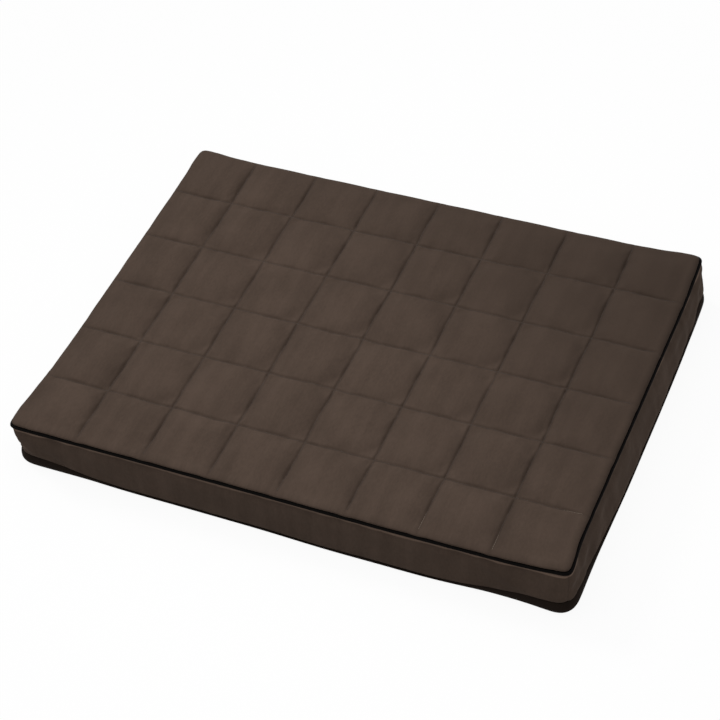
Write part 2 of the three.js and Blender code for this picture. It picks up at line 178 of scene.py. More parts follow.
def make_floor_material():
    material = bpy.data.materials.new("studio_floor")
    material.use_nodes = True
    tree = material.node_tree
    tree.nodes.clear()
    grey = add_node(tree, "ShaderNodeBsdfDiffuse", {"Color": (FLOOR_GREY,) * 3 + (1,)})
    white = add_node(tree, "ShaderNodeBsdfDiffuse", {"Color": WHITE})
    glow = add_node(tree, "ShaderNodeEmission")
    shares = {"Fac": FLOOR_GLOW, 1: white.outputs[0], 2: glow.outputs[0]}
    bright = add_node(tree, "ShaderNodeMixShader", shares)
    shares = {"Fac": seen_directly(tree), 1: grey.outputs[0], 2: bright.outputs[0]}
    choose = add_node(tree, "ShaderNodeMixShader", shares)
    add_node(tree, "ShaderNodeOutputMaterial", {"Surface": choose.outputs[0]})
    return material


def make_floor():
    h = FLOOR_SIZE / 2
    data = bpy.data.meshes.new("floor")
    data.from_pydata([(-h, -h, 0), (h, -h, 0), (h, h, 0), (-h, h, 0)], [], [(0, 1, 2, 3)])
    data.transform(Matrix.Translation((0, 0, -FLOOR_DROP)))
    data.materials.append(make_floor_material())
    show(bpy.data.objects.new("floor", data))


def make_lamp(name, kind, energy, place, way, **settings):
    """A lamp that shines along way."""
    lamp = bpy.data.lights.new(name, kind)
    lamp.energy = energy
    for label, value in settings.items():
        setattr(lamp, label, value)
    holder = show(bpy.data.objects.new(name, lamp))
    holder.location = place
    holder.rotation_mode = "QUATERNION"
    holder.rotation_quaternion = way.to_track_quat("-Z", "Y")


make_sky()
make_floor()
make_lamp("sun", "SUN", SUN, (0, 0, 0), -SUN_FROM, angle=math.radians(SUN_SPREAD))
wide, deep = WINDOW_SIZE
window_way = WINDOW_AIM - WINDOW_PLACE
form = {"shape": "RECTANGLE", "size": wide, "size_y": deep}
make_lamp("window", "AREA", WINDOW, WINDOW_PLACE, window_way, **form)
bpy.context.scene.view_settings.view_transform = "Standard"
level_light = SKY + SUN * SUN_FROM.normalized().z / math.pi
print("light on a level surface, without the window:", round(level_light, 2))

# %% [markdown]
# Each cover piece is made at its drawn size first and then passes through one settling field,
# so that neighbours never part. The lower walls belly out under the foam's weight. The top seam
# wanders a few millimetres in and out, and flares into small ears at the corners, which are
# also a little sharper than they were cut. The rear wall stays straight beside the zip, because
# the slider has to run along it.

# %% How the filled cover settles
BELLY = {"left": 9 * MM, "right": 14.5 * MM, "front": 6 * MM, "rear": 2 * MM}  # low, outwards
BULGE_FRONT, BULGE_PLACE, BULGE_REACH = 4.5 * MM, 0.16, 0.17  # where the front sags most
SEAM_OUT = {"left": 0 * MM, "right": 4.5 * MM, "front": 1 * MM, "rear": -1.8 * MM}
EARS = {  # at each corner, by the signs of x and y: along x, along y, and how far it is felt
    (1, -1): (6.5 * MM, -5.5 * MM, 48 * MM),
    (-1, -1): (11 * MM, 0.5 * MM, 105 * MM),
    (1, 1): (-4 * MM, 8 * MM, 70 * MM),
    (-1, 1): (4 * MM, 7 * MM, 65 * MM),
}
BASE_EAR = 6.5 * MM  # the base cloth pokes out at the front right corner
BASE_EAR_REACH = 55 * MM
SHARP_TOP, SHARP_BASE = 6.5, 2.7  # 2 keeps a corner round, more makes it squarer
REAR_SLACK = 0.4  # share of the ends' belly that is lost towards the rear
ZIP_STRAIGHT = 16 * MM  # how far above and below the zip the rear wall is held straight
EDGE_SHARE = 0.74  # the field starts at this share of the way from the middle to the edge


def smooth(low, high, x):
    t = np.clip((x - low) / (high - low), 0, 1)
    return t * t * (3 - 2 * t)


def hump(distance, reach):
    return np.exp(-((distance / reach) ** 2))


def square_up(p, high):
    """Makes the round corners a little squarer, more at the top than at the base."""
    d = np.abs(p[:, :2]) - [half_long - CORNER, half_wide - CORNER]
    in_corner = (d > 1e-9).all(axis=1)
    r = np.hypot(d[:, 0], d[:, 1]) + 1e-12
    c, s = np.clip(d / r[:, None], 1e-9, 1).T
    power = SHARP_BASE + (SHARP_TOP - SHARP_BASE) * high
    stretch = np.where(in_corner, (c**power + s**power) ** (-1 / power) - 1, 0)
    p[:, :2] += np.sign(p[:, :2]) * d * stretch[:, None]


def settle(points):
    """Moves points of the cover from where they are cut to where they lie."""
    p = np.array(points, float).reshape(-1, 3)
    x, y, z = p.T.copy()
    u, v = np.abs(x) / half_long, np.abs(y) / half_wide
    low = 1 - smooth(0, 1, z / band_top)
    high = smooth(0.27, 1, z / band_top)
    square_up(p, high)
    at_end, at_side = smooth(EDGE_SHARE, 1, u), smooth(EDGE_SHARE, 1, v)
    ear_x, ear_y = np.zeros(len(p)), np.zeros(len(p))
    for (sx, sy), (size_x, size_y, reach) in EARS.items():
        ear_x += size_x * hump(half_wide - sy * y, reach) * (sx * x > 0)
        ear_y += size_y * hump(half_long - sx * x, reach) * (sy * y > 0)
    end_belly = np.where(x > 0, BELLY["right"], BELLY["left"])
    end_belly = end_belly * (1 - REAR_SLACK * np.where(y > 0, v, 0) ** 4)
    end_seam = np.where(x > 0, SEAM_OUT["right"], SEAM_OUT["left"])
    poke = hump(half_long - x, BASE_EAR_REACH) * hump(half_wide + y, BASE_EAR_REACH) * BASE_EAR
    end_out = (end_belly + poke * 0.3) * low + (end_seam + ear_x) * high
    front_belly = BELLY["front"] + BULGE_FRONT * hump(x - BULGE_PLACE, BULGE_REACH) + poke
    front_seam = SEAM_OUT["front"] + 1.5 * MM * hump(x - BULGE_PLACE, BULGE_REACH)
    off_zip = 1 - np.exp(-(((z - zip_z) / ZIP_STRAIGHT) ** 4))
    rear_out = BELLY["rear"] * low * off_zip + SEAM_OUT["rear"] * high
    side_out = np.where(y < 0, front_belly * low + front_seam * high, rear_out) + ear_y * high
    p[:, 0] += np.sign(x) * at_end * end_out
    p[:, 1] += np.sign(y) * at_side * side_out
    return p


zip_z = (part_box("zip_slider")[0].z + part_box("zip_slider")[1].z) / 2
print("zip height", round(zip_z, 4))

# %% [markdown]
# Meshes here are made from arrays of points and faces, which is quick and exact. Every piece
# gets a UV map in metres where its cloth was cut, so that a weave keeps its real scale.

# %% Mesh helpers
def new_piece(name, points, faces, uv=None):
    """A mesh object at the origin. uv holds one pair, in metres, for each point."""
    data = bpy.data.meshes.new(name)
    data.from_pydata([tuple(p) for p in points], [], [tuple(int(i) for i in f) for f in faces])
    if uv is not None:
        layer = data.uv_layers.new(name="cut")
        corner = np.zeros(len(data.loops), np.int32)
        data.loops.foreach_get("vertex_index", corner)
        layer.data.foreach_set("uv", np.asarray(uv, np.float32)[corner].ravel())
    data.shade_smooth()
    data.validate()
    return show(bpy.data.objects.new(name, data))


def points_of(piece):
    co = np.zeros(len(piece.data.vertices) * 3, np.float32)
    piece.data.vertices.foreach_get("co", co)
    return co.reshape(-1, 3).astype(float)


def normals_of(piece):
    n = np.zeros(len(piece.data.vertices) * 3, np.float32)
    piece.data.vertex_normals.foreach_get("vector", n)
    return n.reshape(-1, 3)


def move_points(piece, points):
    piece.data.vertices.foreach_set("co", np.asarray(points, np.float32).ravel())
    piece.data.update()


def attach(piece, name, values):
    """Stores one number for each point, for a material to read."""
    attribute = piece.data.attributes.new(name, "FLOAT", "POINT")
    attribute.data.foreach_set("value", np.asarray(values, np.float32))


def bake(piece):
    """Replaces a piece's mesh by the result of its modifiers."""
    graph = bpy.context.evaluated_depsgraph_get()
    made = bpy.data.meshes.new_from_object(piece.evaluated_get(graph), depsgraph=graph)
    piece.modifiers.clear()
    old = piece.data
    piece.data = made
    bpy.data.meshes.remove(old)
    return piece


def thicken(piece, thickness):
    solid = piece.modifiers.new("thickness", "SOLIDIFY")
    solid.thickness = thickness
    solid.offset = -1.0
    solid.use_even_offset = True
    solid.use_rim = True
    return bake(piece)


def subdivide(piece):
    finer = piece.modifiers.new("finer", "SUBSURF")
    finer.levels = 1
    finer.render_levels = 1
    finer.boundary_smooth = "PRESERVE_CORNERS"
    return bake(piece)


def settle_piece(piece):
    """Lets a piece that was drawn at its cut size lie as the filled cover does."""
    move_points(piece, settle(points_of(piece)))
    return piece


def triangles(piece):
    return sum(len(f.vertices) - 2 for f in piece.data.polygons)


def grid_faces(columns, rows):
    """Quads over a grid of points stored row after row, facing along columns x rows."""
    i, j = np.meshgrid(np.arange(columns - 1), np.arange(rows - 1))
    first = j * columns + i
    return np.stack([first, first + 1, first + columns + 1, first + columns], -1).reshape(-1, 4)


# %% [markdown]
# Most of the cover is a flat cloth with a border that turns over an edge. So one helper lays a
# grid over a rounded rectangle, bending the grid lines into the corners, and adds rings that
# step outwards and up or down from its rim.

# %% Rounded grids with turned edges
def round_corners(x, y, half_x, half_y, corner):
    """Bends a square grid so that its four corners become quarter circles."""
    p = np.clip((np.abs(x) - (half_x - corner)) / corner, 0, 1)
    q = np.clip((np.abs(y) - (half_y - corner)) / corner, 0, 1)
    both = (p > 0) & (q > 0)
    new_x = half_x - corner + corner * p * np.sqrt(1 - q * q / 2)
    new_y = half_y - corner + corner * q * np.sqrt(1 - p * p / 2)
    return np.where(both, np.sign(x) * new_x, x), np.where(both, np.sign(y) * new_y, y)


def rim_order(columns, rows):
    """The rim's points of a grid, anticlockwise from its front left corner."""
    front = np.arange(columns)
    right_side = np.arange(1, rows) * columns + columns - 1
    rear = (rows - 1) * columns + np.arange(columns - 2, -1, -1)
    left_side = np.arange(rows - 2, 0, -1) * columns
    return np.concatenate([front, right_side, rear, left_side])


def dish(name, xs, ys, corner, level, rings, up=True, base=None):
    """A grid at height level with rings (outset, height) round it, and a second grid at base."""
    gx, gy = (g.ravel() for g in np.meshgrid(xs, ys))
    gx, gy = round_corners(gx, gy, xs[-1], ys[-1], corner)
    flat = np.stack([gx, gy], 1)
    rim = rim_order(len(xs), len(ys))
    straight = np.array([xs[-1] - corner, ys[-1] - corner])
    out = flat[rim] - np.clip(flat[rim], -straight, straight)
    out /= np.linalg.norm(out, axis=1, keepdims=True)
    points = [np.column_stack([flat, np.full(len(flat), level)])]
    uv = [flat]
    faces = [grid_faces(len(xs), len(ys))[:, :: 1 if up else -1]]
    last, start, run, before = rim, len(flat), 0, (0, level)

    def join(ring):
        """Quads from the last ring of points to the next one."""
        strip = np.stack([last, np.roll(last, -1), np.roll(ring, -1), ring], 1)
        faces.append(strip[:, ::-1] if up else strip)

    for outset, height in rings:
        heights = np.broadcast_to(height, len(rim))
        points.append(np.column_stack([flat[rim] + out * outset, heights]))
        run += math.hypot(outset - before[0], float(np.mean(height)) - float(np.mean(before[1])))
        uv.append(flat[rim] + out * run)
        ring = start + np.arange(len(rim))
        join(ring)
        last, start, before = ring, start + len(rim), (outset, height)
    if base is not None:
        points.append(np.column_stack([flat, np.full(len(flat), base)]))
        uv.append(flat)
        join(start + rim)
        faces.append(start + grid_faces(len(xs), len(ys))[:, :: -1 if up else 1])
    piece = new_piece(name, np.concatenate(points), np.concatenate(faces), np.concatenate(uv))
    return piece, rim


def turned_edge(radius_out, drop, steps):
    """Rings of a quarter ellipse that turns over an edge, outwards and down."""
    angles = [math.pi / 2 * (k + 1) / steps for k in range(steps)]
    return [(radius_out * math.sin(a), -drop * (1 - math.cos(a))) for a in angles]


def ripple(points, wavelength, seed):
    """Soft random unevenness from a few crossing waves, always the same for a seed."""
    rng = np.random.default_rng(RNG_SEED + seed)
    total = np.zeros(len(points))
    for _ in range(7):
        way = rng.normal(size=3)
        way /= np.linalg.norm(way)
        reach = 2 * math.pi / (wavelength * rng.uniform(0.7, 1.5))
        total += np.sin(points @ way * reach + rng.uniform(0, 6.28))
    return total / 2.6


# %% [markdown]
# Cloth that is sewn down and filled swells until it is taut. Blender's Cloth modifier finds
# that shape: the sewn points are pinned, pressure pushes from inside, and a little spare cloth
# lets it pucker. Gravity is off, because the filling carries the cloth. The result is read off
# as plain points, so that each piece can cap how far it may move.

# %% Settling cloth with a simulation
SIM_FRAMES = 20
STIFFNESS = 15.0  # along the threads, when pulled and when pushed


def inflate(piece, sewn, pressure, spare):
    """The places that the piece's points reach when it is blown up between its sewn points."""
    sewn_group = piece.vertex_groups.new(name="sewn")
    sewn_group.add([int(i) for i in np.flatnonzero(sewn)], 1.0, "REPLACE")
    cloth = piece.modifiers.new("swell", "CLOTH")
    cloth.settings.vertex_group_mass = "sewn"
    cloth.settings.pin_stiffness = 1.0
    cloth.settings.use_pressure = True
    cloth.settings.uniform_pressure_force = pressure
    cloth.settings.effector_weights.gravity = 0
    cloth.settings.shrink_min = -spare
    cloth.settings.tension_stiffness = STIFFNESS
    cloth.settings.compression_stiffness = STIFFNESS
    cloth.settings.bending_stiffness = 0.4
    cloth.settings.quality = 6
    cloth.settings.air_damping = 2.0
    cloth.collision_settings.use_collision = False
    cloth.point_cache.frame_start = 1
    cloth.point_cache.frame_end = SIM_FRAMES
    scene = bpy.context.scene
    for number in range(1, SIM_FRAMES + 1):
        scene.frame_set(number)
    graph = bpy.context.evaluated_depsgraph_get()
    settled = points_of(piece.evaluated_get(graph))
    piece.modifiers.clear()
    piece.vertex_groups.clear()
    scene.frame_set(1)
    return settled


# %% [markdown]
# The quilted top is one sheet of suede cloth, sewn through its wadding along a grid of lines
# and turned down at the edge into the piping seam. A displaced plane would give dents of one
# shape. Here the sheet is pinned along its stitch lines and blown up, so each cell swells and
# puckers as its own four seams allow. Grid lines gather near the seams, where the cloth bends.

# %% The quilted top
QUILT_STEPS = 12  # faces across one cell before the last subdivision
GATHER = 0.74  # 0 spaces them evenly, towards 1 they crowd at the seams
PILLOW = quilt_top - valley  # how far a cell stands above its seams
GROOVE_DEPTH, GROOVE_HALF = 1.35 * MM, 2.3 * MM
STRAY = 0.8 * MM  # how far the sewing wanders from its straight lines
EDGE_TURN = 7 * MM  # radius of the turned-down edge
TURN_RINGS = 7
ROLL_UNDER = math.radians(60)  # how far round the edge's roll goes below its widest point
SIDEWAYS = 1.5 * MM  # the most that the blown cloth may shift along itself
TOP_SHARE = 96  # a cell counts as full where this percentage of it lies lower
FLATTEN = 1.7  # how soon a filled cell levels off
RIM_REACH, SEAM_DIP = 32 * MM, 7 * MM
PUCKER_LENGTH, PUCKER_HEIGHT, PUCKER_PLACE = 15 * MM, 0.38 * MM, 6 * MM
# How far the turned edge swells outwards on each side.
EDGE_ROLL = {"left": 10 * MM, "right": 6.8 * MM, "front": 8.8 * MM, "rear": 6.5 * MM}
CORNER_ROLL = 0.68  # share of that swelling that is left at the corners
EDGE_FULL = 0.42  # how full the cells still are where the edge turns down
FACE_CLOTH = 1.3 * MM


def gathered(count, outer):
    """Grid lines over count cells, crowding at every stitch line, ending at outer."""
    whole = np.arange(count * QUILT_STEPS + 1) / QUILT_STEPS
    eased = whole - GATHER * np.sin(2 * math.pi * whole) / (2 * math.pi)
    lines = (eased - count / 2) * cell
    edge = (count / 2 - 1) * cell
    beyond = np.clip((np.abs(lines) - edge) / cell, 0, 1)
    stretched = np.sign(lines) * (edge + beyond * (outer - edge))
    return np.where(np.abs(lines) > edge, stretched, lines)


def to_seam(points):
    """Distance from the nearest stitch line, and 0 to 1 inside a cell along both axes."""
    a = points[:, 0] / cell + COLUMNS / 2
    b = points[:, 1] / cell + ROWS / 2
    inside_x = np.where((a < 0.5) | (a > COLUMNS - 0.5), 1, np.abs(a - np.round(a)))
    inside_y = np.where((b < 0.5) | (b > ROWS - 0.5), 1, np.abs(b - np.round(b)))
    return np.minimum(inside_x, inside_y) * cell, a, b


def to_rim(points):
    """Distance inwards from the line where the edge starts to turn down."""
    return np.minimum(inner_x - np.abs(points[:, 0]), inner_y - np.abs(points[:, 1]))


def roll_edge(end, start, rim):
    """Turns the edge down as a soft roll that leans out over the piping and tucks in below."""
    grid = len(start) - TURN_RINGS * len(rim)
    way = start[grid + (TURN_RINGS - 1) * len(rim):, :2] - start[rim, :2]
    way /= np.linalg.norm(way, axis=1, keepdims=True)
    size = np.where(way[:, 0] < 0, EDGE_ROLL["left"], EDGE_ROLL["right"]) * way[:, 0] ** 2
    size += np.where(way[:, 1] < 0, EDGE_ROLL["front"], EDGE_ROLL["rear"]) * way[:, 1] ** 2
    size *= 1 - (1 - CORNER_ROLL) * np.abs(2 * way[:, 0] * way[:, 1])
    tall = (end[rim, 2] - face_rim) / (1 + math.sin(ROLL_UNDER))
    centre = EDGE_TURN - size * math.cos(ROLL_UNDER)
    for k in range(TURN_RINGS):
        t = (k + 1) / TURN_RINGS
        angle = math.pi / 2 - (math.pi / 2 + ROLL_UNDER) * t
        out = centre * smooth(0, 0.5, t) + size * math.cos(angle)
        ring = slice(grid + k * len(rim), grid + (k + 1) * len(rim))
        end[ring, :2] = end[rim, :2] + way * out[:, None]
        end[ring, 2] = end[rim, 2] - tall + tall * math.sin(angle)
    return end


def swell_top(face, rim):
    """Blows up the cells of the top, then levels every cell off at the same height."""
    start = points_of(face)
    seam, a, b = to_seam(start)
    sewn = (seam < 0.4 * MM) | (start[:, 2] < face_rim + 0.1 * MM)
    blown = inflate(face, sewn, pressure=4.0, spare=0.012)
    rise = np.clip(blown[:, 2] - start[:, 2], 0, None)
    aside = np.clip(blown[:, :2] - start[:, :2], -SIDEWAYS, SIDEWAYS)
    a, b = np.clip(a, 0, COLUMNS - 0.001), np.clip(b, 0, ROWS - 0.001)
    key = np.floor(a) + COLUMNS * np.floor(b)
    share = np.zeros(len(start))
    for k in np.unique(key):
        cell_points = key == k
        full = np.percentile(rise[cell_points], TOP_SHARE)
        share[cell_points] = rise[cell_points] / max(full, 1e-6)
    level = (1 - np.exp(-FLATTEN * np.clip(share, 0, 1.3))) / (1 - math.exp(-FLATTEN))
    at_rim = 1 - smooth(0, RIM_REACH, to_rim(start))
    level = level * (1 - at_rim) + at_rim * EDGE_FULL * (1 - 0.5 * np.exp(-seam / SEAM_DIP))
    end = start.copy()
    end[:, :2] += aside * 0.6
    end[:, 2] += PILLOW * 0.96 * level * (1 + 0.08 * ripple(start, 0.12, 1))
    end = roll_edge(end, start, rim)
    print("top: tallest rise before levelling", round(float(rise.max()) * 1000, 1), "mm")
    return end


def stray(points):
    """The sideways wandering of the stitch lines, fading out between them."""
    flat = points * [1, 1, 0]
    near = hump(to_seam(flat)[0], 18 * MM) * STRAY
    return np.column_stack([ripple(flat, 0.09, 21) * near, ripple(flat, 0.09, 22) * near, 0 * near])


def sew_grooves(points):
    """The thread pulls a narrow groove along each line, with small puckers beside it."""
    seam = to_seam(points)[0]
    inwards = to_rim(points)
    on_top = (0.45 + 0.55 * smooth(0, 16 * MM, inwards)) * smooth(-EDGE_TURN, 0, inwards)
    beside = hump(seam - PUCKER_PLACE, PUCKER_PLACE)
    pucker = ripple(points, PUCKER_LENGTH, 2) * beside * PUCKER_HEIGHT
    pull = GROOVE_DEPTH * hump(seam, GROOVE_HALF) * (0.95 + 0.4 * ripple(points, 40 * MM, 3))
    points[:, 2] += on_top * (pucker - pull)
    return points + stray(points) * on_top[:, None]


inner_x = half_long - seam_inset - EDGE_TURN
inner_y = half_wide - seam_inset - EDGE_TURN
quilt_grid = gathered(COLUMNS, inner_x), gathered(ROWS, inner_y), CORNER - seam_inset - EDGE_TURN
turn = [(o, valley + d) for o, d in turned_edge(EDGE_TURN, valley - face_rim, TURN_RINGS)]
quilt_face, face_rim_points = dish("quilt_face_cloth", *quilt_grid, valley, turn)
swollen = swell_top(quilt_face, face_rim_points)
move_points(quilt_face, swollen)
subdivide(quilt_face)
top_points = sew_grooves(points_of(quilt_face))
move_points(quilt_face, settle(top_points))
# These two feed painted shade: in the grooves, and on the sides of the cells that lean left or
# right.
attach(quilt_face, "from_seam", to_seam(top_points)[0])
attach(quilt_face, "tilted", np.abs(normals_of(quilt_face)[:, 0]))
# A painted highlight on the roll just above the piping, where the folded edge catches the light.
attach(quilt_face, "fold_highlight", hump(top_points[:, 2] - face_rim - 2 * MM, 1.8 * MM))
thicken(quilt_face, FACE_CLOTH)
highest = round(points_of(quilt_face)[:, 2].max(), 4)
print("quilt face:", triangles(quilt_face), "triangles, top", highest)

# %% [markdown]
# Under the top lies the wadding that fills the cells. It has the top's own swollen shape,
# drawn in by the thickness of the cloth, and a flat underside on a thin backing cloth. Both
# are hidden, but a bed that is taken apart shows them.

# %% Wadding and backing under the top
wad_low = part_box("quilt_wadding")[0].z
wad_turn = turned_edge(EDGE_TURN - 3 * MM, 3 * MM, 3)
wad_turn = [(o, wad_low + 2.6 * MM + d * 0.3) for o, d in wad_turn]
wadding, _ = dish("wadding", *quilt_grid, valley, wad_turn, base=wad_low)
pad = points_of(wadding)
grid_count = len(quilt_grid[0]) * len(quilt_grid[1])
near_line = hump(to_seam(pad[:grid_count])[0], 5 * MM)
sunk = FACE_CLOTH + 0.7 * MM + GROOVE_DEPTH * 1.2 * near_line  # the cloth, and room under it
pad[:grid_count, 2] = swollen[:grid_count, 2] - sunk
move_points(wadding, settle(pad))

back_low, back_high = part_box("quilt_backing")
BACK_EDGE = 6 * MM
back_x, back_y = back_high.x - BACK_EDGE, back_high.y - BACK_EDGE
back_grid = np.linspace(-back_x, back_x, 61), np.linspace(-back_y, back_y, 47), CORNER - 15 * MM
backing, _ = dish("backing_cloth", *back_grid, back_high.z, [(BACK_EDGE, back_high.z)])
settle_piece(backing)
thicken(backing, back_high.z - back_low.z)
print("wadding:", triangles(wadding), "triangles, backing:", triangles(backing))

# %% [markdown]
# Everything round the edge follows one outline. It is walked anticlockwise in four runs, each
# from the middle of one corner to the middle of the next, because that is where the side bands
# are sewn together.

# %% Runs round the outline
LEFT, FRONT, RIGHT, REAR = range(4)
ARC_STEPS = 8


def edge_run(side, inset=0.0, step=5 * MM):
    """Points, outward directions and distances along one side, seen from above."""
    deep, span = (half_long, half_wide) if side in (LEFT, RIGHT) else (half_wide, half_long)
    deep, span, corner = deep - inset, span - inset, CORNER - inset
    straight = span - corner
    count = math.ceil(2 * straight / step)
    quarter = math.pi / 4
    turn_angle = np.concatenate([
        np.linspace(-quarter, 0, ARC_STEPS, endpoint=False),
        np.zeros(count + 1),
        np.linspace(0, quarter, ARC_STEPS + 1)[1:],
    ])
    shift = np.concatenate([
        np.full(ARC_STEPS, -straight),
        np.linspace(-straight, straight, count + 1),
        np.full(ARC_STEPS, straight),
    ])
    along = shift + corner * np.sin(turn_angle)
    outward = deep - corner + corner * np.cos(turn_angle)
    facing = math.pi + math.pi / 2 * side
    face_way = np.array([math.cos(facing), math.sin(facing)])
    along_way = np.array([-math.sin(facing), math.cos(facing)])
    place = along[:, None] * along_way + outward[:, None] * face_way
    out = np.sin(turn_angle)[:, None] * along_way + np.cos(turn_angle)[:, None] * face_way
    gone = np.concatenate([[0], np.cumsum(np.linalg.norm(np.diff(place, axis=0), axis=1))])
    return place, out, gone


def join_runs(sides, inset=0.0):
    """Several runs end to end, with the index of each seam between them."""
    places, outs, gone, seams, total = [], [], [], [], 0.0
    for number, side in enumerate(sides):
        place, out, s = edge_run(side, inset)
        skip = 1 if number else 0
        seams.append(sum(len(p) for p in places) - skip if number else 0)
        places.append(place[skip:])
        outs.append(out[skip:])
        gone.append(s[skip:] + total)
        total += s[-1]
    seams.append(sum(len(p) for p in places) - 1)
    return np.concatenate(places), np.concatenate(outs), np.concatenate(gone), seams


def sweep(name, places, outs, gone, sections, close=True):
    """Carries a closed cross-section along a path. A section holds (outset, height) pairs.
    sections is one such array, or one for each station. An open path gets flat ends."""
    stations = len(places)
    sections = np.broadcast_to(sections, (stations,) + np.shape(sections)[-2:])
    m = sections.shape[1]
    xy = places[:, None, :] + outs[:, None, :] * sections[:, :, :1]
    points = np.concatenate([xy, sections[:, :, 1:]], 2).reshape(-1, 3)
    last = stations if close else stations - 1
    i, j = np.meshgrid(np.arange(last), np.arange(m), indexing="ij")
    nxt, up_one = (i + 1) % stations, (j + 1) % m
    faces = np.stack([i * m + j, nxt * m + j, nxt * m + up_one, i * m + up_one], -1).reshape(-1, 4)
    faces = [tuple(f) for f in faces]
    if not close:
        faces.append(tuple(range(m)))
        faces.append(tuple(range((stations - 1) * m + m - 1, (stations - 1) * m - 1, -1)))
    steps = np.diff(sections[0], axis=0, prepend=sections[0][:1])
    around = np.cumsum(np.linalg.norm(steps, axis=1))
    uv = np.stack(np.meshgrid(gone, around, indexing="ij"), -1).reshape(-1, 2)
    return new_piece(name, points, faces, uv)


def ribbon(centre_line, thickness):
    """The closed outline of a strip of cloth whose middle follows a line."""
    line = np.asarray(centre_line, float)
    way = np.gradient(line, axis=0)
    way /= np.linalg.norm(way, axis=1, keepdims=True)
    normal = np.stack([way[:, 1], -way[:, 0]], 1) * thickness / 2
    return np.concatenate([line + normal, (line - normal)[::-1]])


print("outline runs:", [len(edge_run(side)[0]) for side in range(4)], "points")

# %% [markdown]
# The piping is a black cloth strip folded round a cord, with its two raw edges lying flat in
# the seam. A plain tube would look the same from outside, but the real strip has a tail, and
# it is the tail that the top and the bands are sewn to.

# %% Piping
SLEEVE_CLOTH = 0.7 * MM
SLEEVE_TAIL = 5 * MM
roll = pipe_radius - SLEEVE_CLOTH / 2
gap_angle = math.asin(0.39 * MM / roll)
around = np.linspace(math.pi - gap_angle, gap_angle - math.pi, 19)
circle = np.column_stack([roll * np.cos(around), roll * np.sin(around)])
tail_x = -roll - SLEEVE_TAIL
tail = np.array([[tail_x, 0.39 * MM], [-roll - 1.5 * MM, 0.39 * MM]])
sleeve_line = np.concatenate([tail, circle, tail[::-1] * [1, -1]])
sleeve_section = ribbon(sleeve_line, SLEEVE_CLOTH)[::-1] + [0, pipe_z]
loop_sides = [LEFT, FRONT, RIGHT, REAR]
places, outs, gone, _ = join_runs(loop_sides, pipe_inset)
places, outs, gone = places[:-1], outs[:-1], gone[:-1]
piping = sweep("piping_strip", places, outs, gone, sleeve_section[::-1])
settle_piece(piping)
turns = np.linspace(0, 2 * math.pi, 10, endpoint=False)
cord_radius = pipe_radius - SLEEVE_CLOTH - 0.08 * MM
cord_section = cord_radius * np.column_stack([np.cos(turns), np.sin(turns)]) + [0, pipe_z]
cord = sweep("piping_filler", places, outs, gone, cord_section)
settle_piece(cord)
print("piping:", triangles(piping), "triangles round", round(gone[-1], 2), "m")

# %% [markdown]
# The base cloth turns up all round to meet the bands, higher at the corners than between them,
# where the foam's weight lets it sag. One function gives that seam's height, and both the base
# and the bands are cut to it.

# %% The base cloth
CORNER_SEAM, MIDDLE_SEAM = 25 * MM, 7 * MM
REAR_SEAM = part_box("zip_panel_lower")[0].z
SEAM_LEVEL, SEAM_REACH = 0.02, 0.105  # it stays high so far from a corner, then falls over this
SEAM_CURVE = 1.6  # 2 is a plain hump, less is more pointed
SEAM_WAVE, SEAM_WAVE_LENGTH = 1.2 * MM, 0.16  # it also wanders up and down a little
AT_REAR = 0.80, 0.97  # share of the half width over which the rear's straight seam takes over
SEAM_TUCK = 1.6 * MM
BASE_TURN, BASE_STEPS = 12 * MM, 5
GRID_STEP, GRID_BORDER, BORDER_STEPS = 14 * MM, 50 * MM, 8
BASE_CLOTH = 1.4 * MM


def seam_height(places):
    """Height of the seam between the base and the bands at points of the outline."""
    x, y = np.abs(places[:, 0]), places[:, 1]
    along = np.minimum(half_long - x, 1) + np.minimum(half_wide - np.abs(y), 1)
    corner = np.exp(-((np.clip(along - SEAM_LEVEL, 0, None) / SEAM_REACH) ** SEAM_CURVE))
    height = MIDDLE_SEAM + (CORNER_SEAM - MIDDLE_SEAM) * corner
    at_rear = smooth(*AT_REAR, y / half_wide)
    wave = ripple(np.column_stack([places, 0 * y]), SEAM_WAVE_LENGTH, 5)
    height += SEAM_WAVE * wave * (1 - at_rear)
    return height * (1 - at_rear) + REAR_SEAM * at_rear


def edge_lines(outer):
    """Grid lines that are wide apart in the middle and closer in the border."""
    inner = outer - GRID_BORDER
    middle = np.linspace(-inner, inner, round(2 * inner / GRID_STEP) + 1)
    close = inner + GRID_BORDER * np.linspace(0, 1, BORDER_STEPS + 1)[1:]
    return np.concatenate([-close[::-1], middle, close])


base_x, base_y = half_long - BASE_TURN, half_wide - BASE_TURN
base_xs, base_ys = edge_lines(base_x), edge_lines(base_y)
fx, fy = (g.ravel() for g in np.meshgrid(base_xs, base_ys))
fx, fy = round_corners(fx, fy, base_x, base_y, CORNER - BASE_TURN)
rim_xy = np.column_stack([fx, fy])[rim_order(len(base_xs), len(base_ys))]
top_of_base = seam_height(rim_xy * [half_long / base_x, half_wide / base_y]) - 0.2 * MM
rings = []
for k in range(1, BASE_STEPS + 1):
    a = math.pi / 2 * k / BASE_STEPS
    low_turn = np.minimum(BASE_TURN, top_of_base * 0.8)
    rings.append((BASE_TURN * math.sin(a), low_turn * (1 - math.cos(a))))
for share in (0.3, 0.6, 0.8, 0.93):
    tuck = SEAM_TUCK * smooth(0.5, 1.0, share)
    rings.append((BASE_TURN - tuck, low_turn + (top_of_base - low_turn) * share))
rings.append((BASE_TURN - SEAM_TUCK * 1.6, top_of_base))
base, _ = dish("base_cloth", base_xs, base_ys, CORNER - BASE_TURN, 0.0, rings, up=False)
subdivide(base)
under = points_of(base)
flat_part = 1 - smooth(1 * MM, 6 * MM, under[:, 2])
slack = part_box("liner_floor")[0].z - BASE_CLOTH - 0.1 * MM  # room under the liner
